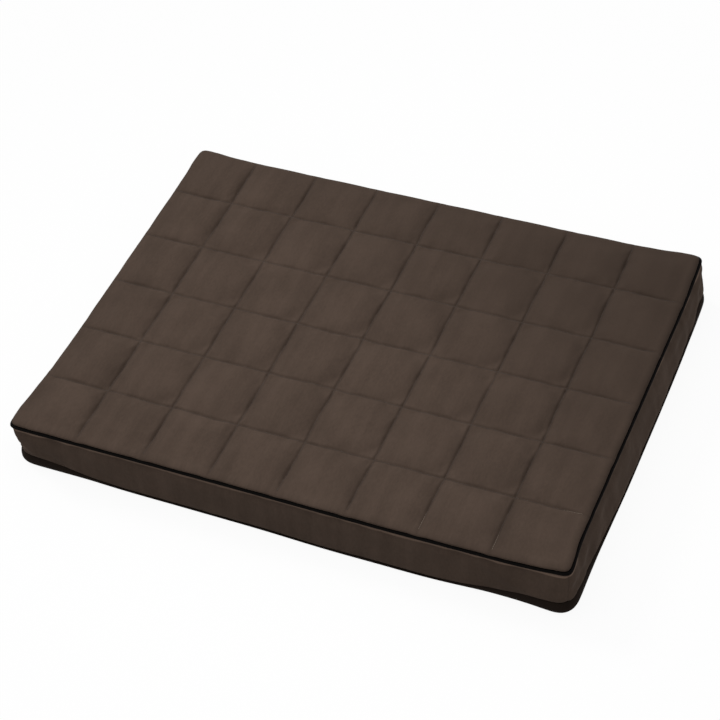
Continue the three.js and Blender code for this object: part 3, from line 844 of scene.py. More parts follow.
under[:, 2] += flat_part * np.clip(0.5 * slack * (1 + ripple(under, 0.09, 6)), 0, slack)
under = settle(under)
under[:, 2] = np.maximum(under[:, 2], 0)
move_points(base, under)
thicken(base, BASE_CLOTH)
print("base:", triangles(base), "triangles, highest seam", round(top_of_base.max(), 4))
print("the base's middle lifts by up to", round(slack * 1000, 2), "mm")

# %% [markdown]
# Three bands make the left, front and right walls. They are cut straight, lean in under the
# piping, and ease over the foam in soft folds that gather towards the corner seams. They are
# simulated as one strip, so that the folds run on across the seams, and then cut apart.

# %% Side bands
BAND_ROWS = 15
BAND_CLOTH = 1.2 * MM
BAND_LEAN, LEAN_FROM = 8 * MM, band_top - 20.4 * MM
WELT = 2.6 * MM  # the seam share inside lifts the cloth just below the piping
WELT_DROP, WELT_REACH = 3.7 * MM, 2.3 * MM  # how far below the top, and how tall it is
FOLD = 2.2 * MM  # the most that the swelling stands out
CREASE, CREASE_LENGTH = 2.1 * MM, 40 * MM  # the folds of spare cloth
SWELL, SWELL_LENGTH = 0.8 * MM, 0.16  # slower unevenness along a band
FOLD_REACH = 0.12  # how far from a corner seam the folds gather
CORNER_TUCK, TUCK_REACH = 1.3 * MM, 2.6 * MM  # the corner seams lie a little deeper


def rise_lines(rows):
    """Row places from 0 to 1 that crowd towards the two seams."""
    t = np.linspace(0, 1, rows)
    return t - 0.55 * np.sin(2 * math.pi * t) / (2 * math.pi)


def lean_at(z):
    """How far the wall leans in at a height."""
    return BAND_LEAN * np.clip((z - LEAN_FROM) / (band_top - LEAN_FROM), 0, None) ** 2


def welt_at(z):
    """How far the seam share inside pushes the wall out at a height."""
    return WELT * hump(z - band_top + WELT_DROP, WELT_REACH)


def band_grid(places, outs, low):
    """Points of a wall strip, row after row, leaning in towards its top."""
    points = []
    for t in rise_lines(BAND_ROWS):
        z = low + (band_top - low) * t
        tuck = SEAM_TUCK * 1.6 * hump(z - low, TUCK_REACH)
        inwards = lean_at(z) + tuck - welt_at(z)
        points.append(np.column_stack([places - outs * inwards[:, None], z]))
    return np.concatenate(points)


def paint_fold_highlight(band):
    """Marks the strip just below the piping where the folded edge catches the light, for a painted
    highlight.
    """
    attach(band, "fold_highlight", hump(points_of(band)[:, 2] - band_top + 3.6 * MM, 2.2 * MM))


def fold_bands(strip, columns, seams, gone):
    """Swells the strip between its seams and adds the folds of spare cloth."""
    start = points_of(strip)
    row = np.arange(len(start)) // columns
    column = np.arange(len(start)) % columns
    sewn = (row == 0) | (row == BAND_ROWS - 1) | np.isin(column, seams)
    blown = inflate(strip, sewn, pressure=1.2, spare=0.02)
    out_way = np.column_stack([band_outs[column], np.zeros(len(start))])
    shift = blown - start
    outward = np.einsum("ij,ij->i", shift, out_way)
    limited = FOLD * np.tanh(outward / FOLD)
    from_corner = np.min(np.abs(gone[column][:, None] - gone[seams][None, :]), axis=1)
    fold_share = 0.35 + 0.65 * hump(from_corner, FOLD_REACH)
    free = np.sin(math.pi * np.clip(row / (BAND_ROWS - 1), 0, 1)) ** 0.7
    crease = ripple(start * [1, 1, 1.6], CREASE_LENGTH, 8) * fold_share * free * CREASE
    crease += ripple(start * [1, 1, 0.5], SWELL_LENGTH, 9) * free * SWELL
    tuck = CORNER_TUCK * hump(from_corner, TUCK_REACH)
    print("bands: strongest swelling", round(float(np.abs(outward).max()) * 1000, 1), "mm")
    return start + out_way * (limited * 0.6 + crease - tuck)[:, None]


def cut_piece(name, points, uv, columns, first, last):
    """One band of the strip, from one seam column to the next."""
    row, column = np.meshgrid(np.arange(BAND_ROWS), np.arange(first, last + 1), indexing="ij")
    keep = (row * columns + column).ravel()
    faces = grid_faces(last - first + 1, BAND_ROWS)
    return new_piece(name, points[keep], faces, uv[keep])


band_places, band_outs, band_gone, band_seams = join_runs([LEFT, FRONT, RIGHT])
columns = len(band_places)
band_low = seam_height(band_places) + 0.2 * MM
strip_points = band_grid(band_places, band_outs, band_low)
strip = new_piece("strip", strip_points, grid_faces(columns, BAND_ROWS))
folded = fold_bands(strip, columns, np.array(band_seams), band_gone)
bpy.data.objects.remove(strip)
strip_uv = np.column_stack([np.tile(band_gone, BAND_ROWS), strip_points[:, 2]])
bands = []
for number, name in enumerate(("left_band_cloth", "front_band_cloth", "right_band_cloth")):
    first, last = band_seams[number], band_seams[number + 1]
    band = cut_piece(name, folded, strip_uv, columns, first, last)
    subdivide(band)
    paint_fold_highlight(band)
    bands.append(thicken(settle_piece(band), BAND_CLOTH))
print("bands:", [triangles(band) for band in bands], "triangles")

# %% [markdown]
# The rear wall is four pieces round the zip. Two short bands come in from the corner seams,
# and between them run two panels whose edges fold back behind themselves, so that the teeth
# lie just behind a clean edge. The folded edge is drawn as one ribbon and carried along.

# %% Rear wall
HEM, HEM_STITCHES = 10 * MM, 2.4 * MM  # the fold, and how far its stitches are from its edge
panel_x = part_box("zip_panel_upper")[1].x
panel_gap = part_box("zip_panel_upper")[0].z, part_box("zip_panel_lower")[1].z
REAR_STEP = 5 * MM
ZIP_FREE = 30 * MM  # this far from the zip a panel may wave fully
PANEL_WAVE, PANEL_WAVE_LENGTH = 0.9 * MM, 0.10


def rear_end(name, toward):
    """The short band from a rear corner seam to the end of the zip panels."""
    places, outs, gone = edge_run(REAR, step=3 * MM)
    keep = places[:, 0] * toward > panel_x + 0.3 * MM
    places, outs, gone = places[keep], outs[keep], gone[keep]
    places[np.argmin(np.abs(places[:, 0])), 0] = toward * (panel_x + 0.15 * MM)
    points = band_grid(places, outs, np.full(len(places), REAR_SEAM))
    free = np.sin(math.pi * np.clip((points[:, 2] - REAR_SEAM) / (band_top - REAR_SEAM), 0, 1))
    crease = ripple(points, CREASE_LENGTH, 11) * free * 0.5 * MM
    at_seam = gone[0] if toward > 0 else gone[-1]
    tuck = CORNER_TUCK * hump(np.tile(gone, BAND_ROWS) - at_seam, TUCK_REACH)
    points[:, :2] += np.tile(outs, (BAND_ROWS, 1)) * (crease - tuck)[:, None]
    uv = np.column_stack([np.tile(gone, BAND_ROWS), points[:, 2]])
    piece = new_piece(name, points, grid_faces(len(places), BAND_ROWS), uv)
    subdivide(piece)
    paint_fold_highlight(piece)
    return thicken(settle_piece(piece), BAND_CLOTH)


def zip_panel(name, seam_z, edge_z):
    """A panel from its long seam to the zip, with its hem folded back inside."""
    way = 1 if edge_z > seam_z else -1
    bend = BAND_CLOTH / 2 + 0.01 * MM
    heights = seam_z + (edge_z - way * bend - seam_z) * rise_lines(12)
    lean = lean_at(heights) - welt_at(heights)
    outer = np.column_stack([-lean - BAND_CLOTH / 2, heights])
    angles = np.linspace(0, math.pi, 7)[1:]
    fold_x = -BAND_CLOTH / 2 - bend + bend * np.cos(angles)
    fold = np.column_stack([fold_x, edge_z - way * bend + way * bend * np.sin(angles)])
    hem = fold[-1] - [0, way * (HEM - bend)]
    line = np.concatenate([outer, fold, [hem]])
    section = ribbon(line, BAND_CLOTH)[:: -way]
    count = round(2 * panel_x / REAR_STEP) + 1
    x = np.linspace(panel_x, -panel_x, count)
    places = np.column_stack([x, np.full(count, half_wide)])
    outs = np.tile([0.0, 1.0], (count, 1))
    piece = sweep(name, places, outs, panel_x - x, section, close=False)
    points = points_of(piece)
    free = np.clip(np.abs(points[:, 2] - zip_z) / ZIP_FREE, 0, 1) ** 2
    free *= smooth(0, 6 * MM, np.abs(points[:, 2] - seam_z))
    free *= smooth(0, 20 * MM, panel_x - np.abs(points[:, 0]))
    points[:, 1] += PANEL_WAVE * free * ripple(points * [1, 0, 1], PANEL_WAVE_LENGTH, 12)
    # A painted highlight just below the piping, where the folded edge catches the light.
    attach(piece, "fold_highlight", hump(points[:, 2] - band_top + 2 * MM, 2.8 * MM))
    move_points(piece, settle(points))
    return piece


rear_right = rear_end("rear_end_band_right", 1)
rear_left = rear_end("rear_end_band_left", -1)
upper_panel = zip_panel("upper_zip_panel", band_top, panel_gap[0])
lower_panel = zip_panel("lower_zip_panel", REAR_SEAM, panel_gap[1])
print("rear wall:", [triangles(p) for p in (rear_right, rear_left, upper_panel, lower_panel)])

# %% [markdown]
# Inside are two foams, a firm one below and a softer one on top, zipped into a thin liner.
# Their edges are rounded a little, which is what keeps the bed's outline soft.

# %% Foams and liner
LINER_TURN, LINER_CLOTH, FLOOR_EDGE = 20 * MM, 0.8 * MM, 8 * MM
FOAM_WAVE, FOAM_ROUGH = 0.05, 0.15 * MM  # unevenness of the cut foam


def edge_grid(high, turned):
    """Grid lines and corner radius for a piece that ends at high and turns over its edge."""
    corner = CORNER - (half_long - high.x) - turned
    return edge_lines(high.x - turned), edge_lines(high.y - turned), corner


def block_of(name, node, top_turn, low_turn):
    """A foam block with rounded edges, as big as its frame node."""
    low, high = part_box(node)
    inside = max(top_turn, low_turn)
    rings = [(o, high.z + d) for o, d in turned_edge(inside, top_turn, 5)]
    rings.append((inside, (low.z + high.z) / 2))
    rings += [(o, low.z - d) for o, d in turned_edge(inside, low_turn, 3)[::-1]]
    block, _ = dish(name, *edge_grid(high, inside), high.z, rings, base=low.z)
    points = points_of(block)
    middle = (low + high) / 2
    rough = ripple(points, FOAM_WAVE, 14) * FOAM_ROUGH
    points -= rough[:, None] * np.sign(points - middle)
    move_points(block, np.clip(points, low, high))
    return block


support = block_of("support_block", "support_foam", 2 * MM, 4 * MM)
topper = block_of("topper_block", "topper_foam", 20 * MM, 2 * MM)
liner_low, liner_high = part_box("liner_cover")
liner_rings = [(o, liner_high.z + d) for o, d in turned_edge(LINER_TURN, LINER_TURN, 6)]
wall = np.linspace(liner_high.z - LINER_TURN, liner_low.z, 6)[1:]
liner_rings += [(LINER_TURN, z) for z in wall]
liner_grid = edge_grid(liner_high, LINER_TURN)
liner, _ = dish("liner_cover_cloth", *liner_grid, liner_high.z, liner_rings)
thicken(liner, LINER_CLOTH)
floor_low, floor_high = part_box("liner_floor")
floor_grid = edge_grid(floor_high, FLOOR_EDGE)
liner_base, _ = dish("liner_floor_cloth", *floor_grid, floor_high.z, [(FLOOR_EDGE, floor_high.z)])
thicken(liner_base, floor_high.z - floor_low.z)
print("inside:", [triangles(p) for p in (support, topper, liner, liner_base)])

# %% [markdown]
# Stitches and the loops of the zip's coil are one small shape repeated along a line, which is
# what Geometry Nodes are for. Each tree takes a line of edges, spaces points along it and puts
# a shape on each. Its sizes are inputs, so the same tree sews the quilting and the zip.

# %% Geometry tree helpers
def new_tree(name, inputs):
    """A tree with a geometry input, the named number or material inputs, and an output."""
    tree = bpy.data.node_groups.new(name, "GeometryNodeTree")
    tree.interface.new_socket("Path", in_out="INPUT", socket_type="NodeSocketGeometry")
    for label, kind, value in inputs:
        socket = tree.interface.new_socket(label, in_out="INPUT", socket_type="NodeSocket" + kind)
        if value is not None:
            socket.default_value = value
    tree.interface.new_socket("Geometry", in_out="OUTPUT", socket_type="NodeSocketGeometry")
    return tree, tree.nodes.new("NodeGroupInput"), tree.nodes.new("NodeGroupOutput")


def finish_tree(tree, given, out, shape, rotation=None):
    """Puts the shape on points spaced along the path, gives it the material and sends it out."""
    curve = add_node(tree, "GeometryNodeMeshToCurve", {"Mesh": given.outputs["Path"]})
    pitch = {"Curve": curve.outputs[0], "Length": given.outputs["Pitch"]}
    spaced = add_node(tree, "GeometryNodeResampleCurve", pitch, mode="LENGTH")
    inputs = {"Points": spaced.outputs[0], "Instance": shape}
    if rotation is not None:
        inputs["Rotation"] = rotation
    place = add_node(tree, "GeometryNodeInstanceOnPoints", inputs)
    real = add_node(tree, "GeometryNodeRealizeInstances", {0: place.outputs[0]})
    paint = {"Geometry": real.outputs[0], "Material": given.outputs["Material"]}
    painted = add_node(tree, "GeometryNodeSetMaterial", paint)
    tree.links.new(painted.outputs[0], out.inputs[0])
    return tree


def wire_along(tree, path, sides, thickness, **inputs):
    """A thread with a round section, some sides round, that follows a curve."""
    radius = maths(tree, "MULTIPLY", thickness, 0.5)
    section = {"Resolution": sides, "Radius": radius}
    ring = add_node(tree, "GeometryNodeCurvePrimitiveCircle", section).outputs[0]
    inputs.update({"Curve": path, "Profile Curve": ring})
    return add_node(tree, "GeometryNodeCurveToMesh", inputs).outputs[0]


def run_tree(name, lines, tree, values):
    """Runs a tree on lines of points and keeps the result as a plain mesh."""
    points, edges = [], []
    for line in lines:
        edges += [(len(points) + k, len(points) + k + 1) for k in range(len(line) - 1)]
        points += [tuple(p) for p in line]
    data = bpy.data.meshes.new(name)
    data.from_pydata(points, edges, [])
    piece = show(bpy.data.objects.new(name, data))
    modifier = piece.modifiers.new(name, "NODES")
    modifier.node_group = tree
    sockets = {s.name: s.identifier for s in tree.interface.items_tree if s.in_out == "INPUT"}
    for label, value in values.items():
        modifier[sockets[label]] = value
    bake(piece)
    piece.data.shade_smooth()
    return piece


# %% [markdown]
# A stitch is a short arc of thread that dives into the cloth at both ends. It lies along the
# line and rises along the cloth's outward direction, so the tree has an input for that too.

# %% The stitch tree
DIVE = 0.35  # how far an end dives into the cloth, as a share of the rise


def build_stitch_tree():
    tree, given, out = new_tree("stitches", [
        ("Pitch", "Float", 3.5 * MM),
        ("Length", "Float", 2.9 * MM),
        ("Thread", "Float", 0.5 * MM),
        ("Rise", "Float", 0.5 * MM),
        ("Up", "Vector", (0, 0, 1)),
        ("Material", "Material", None),
    ])
    length, rise = given.outputs["Length"], given.outputs["Rise"]

    def place(along, height):
        """A point of the arc, in lengths along it and rises above it."""
        parts = {"X": maths(tree, "MULTIPLY", length, along)}
        parts["Z"] = maths(tree, "MULTIPLY", rise, height)
        return add_node(tree, "ShaderNodeCombineXYZ", parts).outputs[0]

    bend = {"Start": place(-0.5, -DIVE), "Middle": place(0.0, 1 + DIVE), "End": place(0.5, -DIVE)}
    arc = add_node(tree, "GeometryNodeCurveQuadraticBezier", {"Resolution": 4, **bend}).outputs[0]
    thread = wire_along(tree, arc, 5, given.outputs["Thread"], **{"Fill Caps": True})
    ways = {0: add_node(tree, "GeometryNodeInputTangent").outputs[0], 1: given.outputs["Up"]}
    axes = {"primary_axis": "X", "secondary_axis": "Z"}
    turn = add_node(tree, "FunctionNodeAxesToRotation", ways, **axes)
    return finish_tree(tree, given, out, thread, turn.outputs[0])


stitch_tree = build_stitch_tree()
print("stitch tree:", len(stitch_tree.nodes), "nodes")

# %% [markdown]
# A nylon coil is one thick thread wound round and round. From outside only its loops count, so
# each is a flattened ring that leans a little, one at every pitch along the tape's edge.

# %% The coil tree
def build_coil_tree():
    tree, given, out = new_tree("zip_coil", [
        ("Pitch", "Float", 1.5 * MM),
        ("Width", "Float", 2.35 * MM),
        ("Depth", "Float", 2.0 * MM),
        ("Wire", "Float", 0.7 * MM),
        ("Lean", "Float", 0.2),
        ("Material", "Material", None),
    ])
    circle = {"Resolution": 8, "Radius": 0.5}
    ring = add_node(tree, "GeometryNodeCurvePrimitiveCircle", circle)
    wire = given.outputs["Wire"]
    across, deep = (maths(tree, "SUBTRACT", given.outputs[n], wire) for n in ("Width", "Depth"))
    size = add_node(tree, "ShaderNodeCombineXYZ", {"X": across, "Y": deep, "Z": 1.0})
    upright = {"Geometry": ring.outputs[0], "Scale": size.outputs[0]}
    upright["Rotation"] = (0, math.pi / 2, 0)
    shaped = add_node(tree, "GeometryNodeTransform", upright)
    lean = add_node(tree, "ShaderNodeCombineXYZ", {"Y": given.outputs["Lean"]})
    tilt = {"Geometry": shaped.outputs[0], "Rotation": lean.outputs[0]}
    leaning = add_node(tree, "GeometryNodeTransform", tilt)
    return finish_tree(tree, given, out, wire_along(tree, leaning.outputs[0], 4, wire))


coil_tree = build_coil_tree()
print("coil tree:", len(coil_tree.nodes), "nodes")

# %% [markdown]
# The finishes come next, because the node trees hand them on. Each one is built from noise and
# waves in metres, on the cloth's own cut pattern where it has a weave, so that a thread is a
# thread's size everywhere.

# %% Material helpers
def srgb(red, green, blue):
    """A colour as a painter names it, 0 to 255, turned into the linear values of light."""
    def one(c):
        c /= 255
        return c / 12.92 if c <= 0.04045 else ((c + 0.055) / 1.055) ** 2.4
    return (one(red), one(green), one(blue), 1.0)


class Finish:
    """A new material with a Principled shader, and short ways to add to it."""

    def __init__(self, name, cut=False, **constants):
        self.material = bpy.data.materials.new(name)
        self.material.use_nodes = True
        self.tree = self.material.node_tree
        self.shader = self.tree.nodes["Principled BSDF"]
        for label, value in constants.items():
            self.shader.inputs[label.replace("_", " ")].default_value = value
        if cut:
            self.place = self.node("ShaderNodeUVMap", uv_map="cut").outputs["UV"]
        else:
            self.place = self.node("ShaderNodeTexCoord").outputs["Object"]

    def node(self, kind, inputs=None, **settings):
        return add_node(self.tree, kind, inputs, **settings)

    def scaled(self, x=1.0, y=1.0, z=1.0, turned=0.0):
        inputs = {"Vector": self.place, "Scale": (x, y, z), "Rotation": (0, 0, turned)}
        return self.node("ShaderNodeMapping", inputs).outputs["Vector"]

    def noise(self, size, detail=2.0, stretch=(1.0, 1.0, 1.0), turned=0.0):
        """Noise whose patches are about size metres across."""
        where = self.scaled(*stretch, turned)
        inputs = {"Scale": 1 / size, "Detail": detail, "Vector": where}
        return self.node("ShaderNodeTexNoise", inputs).outputs["Fac"]

    def wave(self, pitch, direction="X", turned=0.0, distortion=0.0):
        """Ridges with the given pitch in metres."""
        inputs = {"Scale": math.pi / (10 * pitch), "Distortion": distortion}
        inputs["Vector"] = self.scaled(turned=turned)
        return self.node("ShaderNodeTexWave", inputs, bands_direction=direction).outputs["Fac"]

    def stored(self, name):
        """A number that the mesh holds for each point."""
        return self.node("ShaderNodeAttribute", attribute_name=name).outputs["Fac"]

    def calc(self, operation, a, b):
        return maths(self.tree, operation, a, b)

    def blend(self, first, share, second):
        """The sum of two values, share of the first and the rest of the second."""
        rest = self.calc("MULTIPLY", second, round(1 - share, 9))
        return self.calc("ADD", self.calc("MULTIPLY", first, share), rest)

    def spread(self, value, low, high, to_low=0.0, to_high=1.0):
        inputs = {"From Min": low, "From Max": high, "To Min": to_low, "To Max": to_high}
        inputs["Value"] = value
        node = self.node("ShaderNodeMapRange", inputs, interpolation_type="SMOOTHSTEP")
        return node.outputs["Result"]

    def mix(self, share, first, second):
        inputs = {"Factor": share, 6: first, 7: second}  # 6 and 7 are its colours A and B
        return self.node("ShaderNodeMix", inputs, data_type="RGBA").outputs[2]

    def colour(self, socket):
        self.tree.links.new(socket, self.shader.inputs["Base Color"])

    def rough(self, socket):
        self.tree.links.new(socket, self.shader.inputs["Roughness"])

    def bump(self, height, distance, strength=1.0, under=None):
        inputs = {"Height": height, "Distance": distance, "Strength": strength}
        if under is not None:
            inputs["Normal"] = under
        normal = self.node("ShaderNodeBump", inputs).outputs[0]
        self.tree.links.new(normal, self.shader.inputs["Normal"])
        return normal


def dimmed(colour, share):
    """A colour with a share of its light."""
    return tuple(c * share for c in colour[:3]) + (1.0,)


# %% [markdown]
# Suede cloth is a dense felt of very fine fibres. It has almost no gloss but a soft sheen, and
# its nap lies in faint strokes and patches, lighter or darker where a hand has passed over it.

# %% Suede cloth
SEAM_SHADE = 5 * MM  # how far from its stitch line the painted shade of a groove reaches


def suede(name, dark, light, highlight_gain, seam_shade=False):
    """The fourth argument is how much brighter the light colour is painted, a painted highlight
    where the folded edge by the piping catches the light.
    """
    f = Finish(
        name,
        cut=True,
        Sheen_Weight=0.07,
        Sheen_Roughness=0.45,
        Sheen_Tint=srgb(150, 128, 112),
        Specular_IOR_Level=0.12,
    )
    patches = f.noise(0.075, detail=3.0)
    strokes = f.noise(0.16, detail=3.0, stretch=(9.0, 1.0, 1.0), turned=0.12)
    nap = f.noise(0.0035, detail=4.0, stretch=(1.0, 0.45, 1.0))
    fibres = f.noise(0.0006, detail=2.0)
    fine = f.blend(nap, 0.55, fibres)
    both = f.blend(f.blend(patches, 0.55, strokes), 0.55, fine)
    colour = f.mix(f.spread(both, 0.32, 0.68), dark, light)
    if seam_shade:
        # Painted shade: the top darkens towards its right rear, where less light falls.
        parts = f.node("ShaderNodeSeparateXYZ", {0: f.place}).outputs
        across = f.calc("ADD", parts["X"], f.calc("MULTIPLY", parts["Y"], 1.2))
        colour = f.mix(f.spread(across, -0.15, 0.75, 0.0, 0.6), colour, dimmed(dark, 0.72))
        # Painted shade in the grooves along the stitch lines.
        in_seam = f.spread(f.stored("from_seam"), 0.0, SEAM_SHADE, 0.2, 0.0)
        colour = f.mix(in_seam, colour, dimmed(dark, 0.55))
        # Painted shade on the slopes of each cell that lean left or right.
        slope_shade = f.calc("MINIMUM", f.calc("MULTIPLY", f.stored("tilted"), 0.38), 0.15)
        colour = f.mix(slope_shade, colour, dimmed(dark, 0.0))
    # Painted highlight: the light colour is painted along the folded edge by the piping, where it
    # catches the light.
    fold_highlight_share = f.spread(f.stored("fold_highlight"), 0.2, 1.0, 0.0, 0.8)
    f.colour(f.mix(fold_highlight_share, colour, dimmed(light, highlight_gain)))
    f.rough(f.spread(fine, 0.3, 0.7, 0.86, 0.97))
    f.bump(fibres, 0.12 * MM, 0.7, under=f.bump(nap, 0.25 * MM, 0.5))
    return f.material


nap_dark, nap_light = srgb(66, 54, 46), srgb(82, 68, 59)
suede_top = suede("suede_top_nap", nap_dark, nap_light, 1.5, seam_shade=True)
suede_band = suede("suede_band_nap", nap_dark, nap_light, 2.6)
print("suede:", len(suede_top.node_tree.nodes), "nodes")

# %% [markdown]
# The base, the piping and the zip's tapes are woven. Two sets of ridges at right angles make
# the threads over and under, and a little noise keeps them from looking printed.

# %% Woven cloths
def woven(name, dark, light, thread, roughness, specular=0.25, cut=True, diagonal=False):
    f = Finish(name, cut=cut, Specular_IOR_Level=specular, Roughness=roughness)
    turned = math.pi / 4 if diagonal else 0.0
    warp = f.wave(thread * 2, "X", turned, 0.6)
    weft = f.wave(thread * 2, "Y", turned, 0.6)
    weave = f.calc("MAXIMUM", warp, weft)
    slub = f.noise(0.012, detail=3.0, stretch=(1.0, 5.0, 1.0))
    dust = f.noise(0.05, detail=4.0)
    shares = ((weave, 0.4), (slub, 0.35), (dust, 0.25))
    parts = [f.calc("MULTIPLY", part, share) for part, share in shares]
    shade = f.calc("ADD", f.calc("ADD", parts[0], parts[1]), parts[2])
    f.colour(f.mix(f.spread(shade, 0.25, 0.75), dark, light))
    coarse = f.bump(slub, 0.15 * MM, 0.35)
    f.bump(weave, 0.12 * MM, 0.6, under=coarse)
    return f.material


base_weave = woven("base_cloth_weave", srgb(22, 16, 12), srgb(34, 26, 21), 0.45 * MM, 0.9, 0.08)
piping_black = srgb(3, 2, 2), srgb(9, 7, 6)
piping_weave = woven("piping_weave", *piping_black, 0.3 * MM, 0.85, 0.06, diagonal=True)
liner_weave = woven("liner_weave", srgb(214, 208, 196), srgb(232, 228, 218), 0.35 * MM, 0.9)
tape_weave = woven("zip_tape_weave", srgb(24, 20, 18), srgb(36, 30, 27), 0.35 * MM, 0.75, cut=False)
print("woven cloths: 4")

# %% [markdown]
# Wadding is loose white fibre, foam is a fine open sponge, the zip's coil is smooth nylon, and
# its slider is a darkened zinc casting that has rubbed bright along its edges.

# %% Wadding, foam, nylon, metal and thread
def fibre_pad(name):
    f = Finish(name, Specular_IOR_Level=0.1)
    strands = f.noise(0.004, detail=6.0, stretch=(1.0, 3.0, 1.0))
    tufts = f.noise(0.018, detail=3.0)
    f.colour(f.mix(f.spread(strands, 0.3, 0.7), srgb(216, 214, 208), srgb(240, 239, 235)))
    f.rough(f.spread(tufts, 0.3, 0.7, 0.9, 1.0))
    f.bump(strands, 0.6 * MM, 0.7, under=f.bump(tufts, 1.5 * MM, 0.5))
    return f.material


def open_foam(name, dark, light, pore):
    f = Finish(name, Specular_IOR_Level=0.15)
    cells = f.node("ShaderNodeTexVoronoi", {"Scale": 1 / pore, "Vector": f.place})
    tone = f.noise(0.06, detail=3.0)
    pores = f.spread(cells.outputs["Distance"], 0.05, 0.6)
    f.colour(f.mix(f.spread(f.blend(pores, 0.5, tone), 0.2, 0.8), dark, light))
    f.rough(f.spread(tone, 0.3, 0.7, 0.88, 0.98))
    f.bump(pores, 0.4 * MM, 0.6)
    return f.material


def cast_metal(name):
    f = Finish(name, Metallic=1.0)
    scratches = f.noise(0.0016, detail=4.0, stretch=(1.0, 6.0, 6.0))
    bloom = f.noise(0.006, detail=3.0)
    f.colour(f.mix(f.spread(bloom, 0.3, 0.7), srgb(84, 80, 76), srgb(122, 117, 110)))
    f.rough(f.spread(scratches, 0.3, 0.7, 0.28, 0.5))
    f.bump(scratches, 0.03 * MM, 0.4)
    return f.material


def nylon(name):
    f = Finish(name, Specular_IOR_Level=0.5)
    drawn = f.noise(0.0008, detail=2.0)
    f.colour(f.mix(f.spread(drawn, 0.3, 0.7), srgb(26, 22, 20), srgb(40, 34, 31)))
    f.rough(f.spread(drawn, 0.3, 0.7, 0.32, 0.45))
    return f.material


def sewing_thread(name, dark, light):
    f = Finish(name, Specular_IOR_Level=0.3, Roughness=0.6, Sheen_Weight=0.1)
    twist = f.wave(0.4 * MM, "DIAGONAL")
    tone = f.noise(0.03, detail=2.0)
    f.colour(f.mix(f.spread(f.blend(twist, 0.5, tone), 0.2, 0.8), dark, light))
    f.bump(twist, 0.06 * MM, 0.5)
    return f.material


wadding_fibre = fibre_pad("wadding_fibre")
cord_white = srgb(205, 200, 190), srgb(232, 228, 220)
cord_fibre = woven("cord_yarn", *cord_white, 0.8 * MM, 0.9, diagonal=True)
support_sponge = open_foam("support_foam_cells", srgb(222, 214, 186), srgb(238, 232, 208), 1.4 * MM)
topper_sponge = open_foam("topper_foam_cells", srgb(196, 212, 214), srgb(218, 230, 230), 0.9 * MM)
zip_metal = cast_metal("darkened_zinc")
coil_nylon = nylon("coil_nylon")
quilt_thread = sewing_thread("quilting_thread", srgb(40, 32, 27), srgb(60, 49, 42))
pale_thread = sewing_thread("thread_end_pale", srgb(104, 92, 80), srgb(134, 120, 106))
print("finishes:", len(bpy.data.materials), "materials in all")

# %% [markdown]
# The quilting thread runs in the bottom of every groove. The finished top is probed from above
# every few millimetres, and the tree lays its stitches along the heights that were found. At
# three ends the thread is left pale, where its tail was sewn over.

# %% Quilting stitches
STITCH_PITCH, STITCH_LENGTH, THREAD = 3.6 * MM, 3.0 * MM, 0.55 * MM
PALE_TAIL = 26 * MM
PALE_COLUMNS, PALE_ROW = (6, 7), 5  # lines counted from the left and from the rear
EDGE_STOP = 5 * MM

graph = bpy.context.evaluated_depsgraph_get()
top_skin = BVHTree.FromObject(quilt_face, graph)


def height_at(x, y):
    hit = top_skin.ray_cast(Vector((x, y, 0.2)), Vector((0, 0, -1)))[0]
    return None if hit is None else hit.z


def lay_line(start, end, step=6 * MM):
    """Points on the top's surface, a thread's half thickness above it, from start to end."""
    count = max(2, round(math.dist(start, end) / step))
    points = []
    for k in range(count + 1):
        straight = np.array([*start, 0]) + (np.array([*end, 0]) - [*start, 0]) * k / count
        x, y, _ = (straight + stray(straight[None])[0]).tolist()
        z = height_at(x, y)
        if z is not None:
            points.append((x, y, z + THREAD * 0.05))
    return points


def quilting_lines():
    """The lines of dark thread and the short pale ends."""
    dark, pale = [], []
    x_end = half_long - seam_inset - EDGE_STOP
    y_end = half_wide - seam_inset - EDGE_STOP
    for k in range(1, COLUMNS):
        x = (k - COLUMNS / 2) * cell
        tail_end = -y_end + (PALE_TAIL if k in PALE_COLUMNS else 0)
        dark.append(lay_line((x, tail_end), (x, y_end)))
        if k in PALE_COLUMNS:
            pale.append(lay_line((x, -y_end), (x, tail_end), 3 * MM))
    for k in range(1, ROWS):
        y = (ROWS / 2 - k) * cell
        tail_end = x_end - (PALE_TAIL if k == PALE_ROW else 0)
        dark.append(lay_line((-x_end, y), (tail_end, y)))
        if k == PALE_ROW:
            pale.append(lay_line((tail_end, y), (x_end, y), 3 * MM))
    return dark, pale


sizes = {"Pitch": STITCH_PITCH, "Length": STITCH_LENGTH, "Thread": THREAD, "Rise": 0.35 * MM}
dark_lines, pale_lines = quilting_lines()
dark_sizes, pale_sizes = ({**sizes, "Material": m} for m in (quilt_thread, pale_thread))
quilting = run_tree("quilting_stitches", dark_lines, stitch_tree, dark_sizes)
tails = run_tree("pale_thread_ends", pale_lines, stitch_tree, pale_sizes)
print("quilting:", triangles(quilting), "triangles, pale ends:", triangles(tails))

# %% [markdown]
# Two more rows of stitches hold the panels' folded hems and the tapes behind them. They stand
# on the rear wall, so their outward direction is backwards.

# %% Stitches beside the zip
def panel_row(z, piece):
    """A line along a zip panel's outer face at height z."""
    graph = bpy.context.evaluated_depsgraph_get()
    skin = BVHTree.FromObject(piece, graph)
    points = []
    for x in np.linspace(-panel_x + 4 * MM, panel_x - 4 * MM, 161):
        hit = skin.ray_cast(Vector((x, half_wide + 0.05, z)), Vector((0, -1, 0)))[0]
        points.append((x, hit.y + 0.05 * MM, z))
    return points


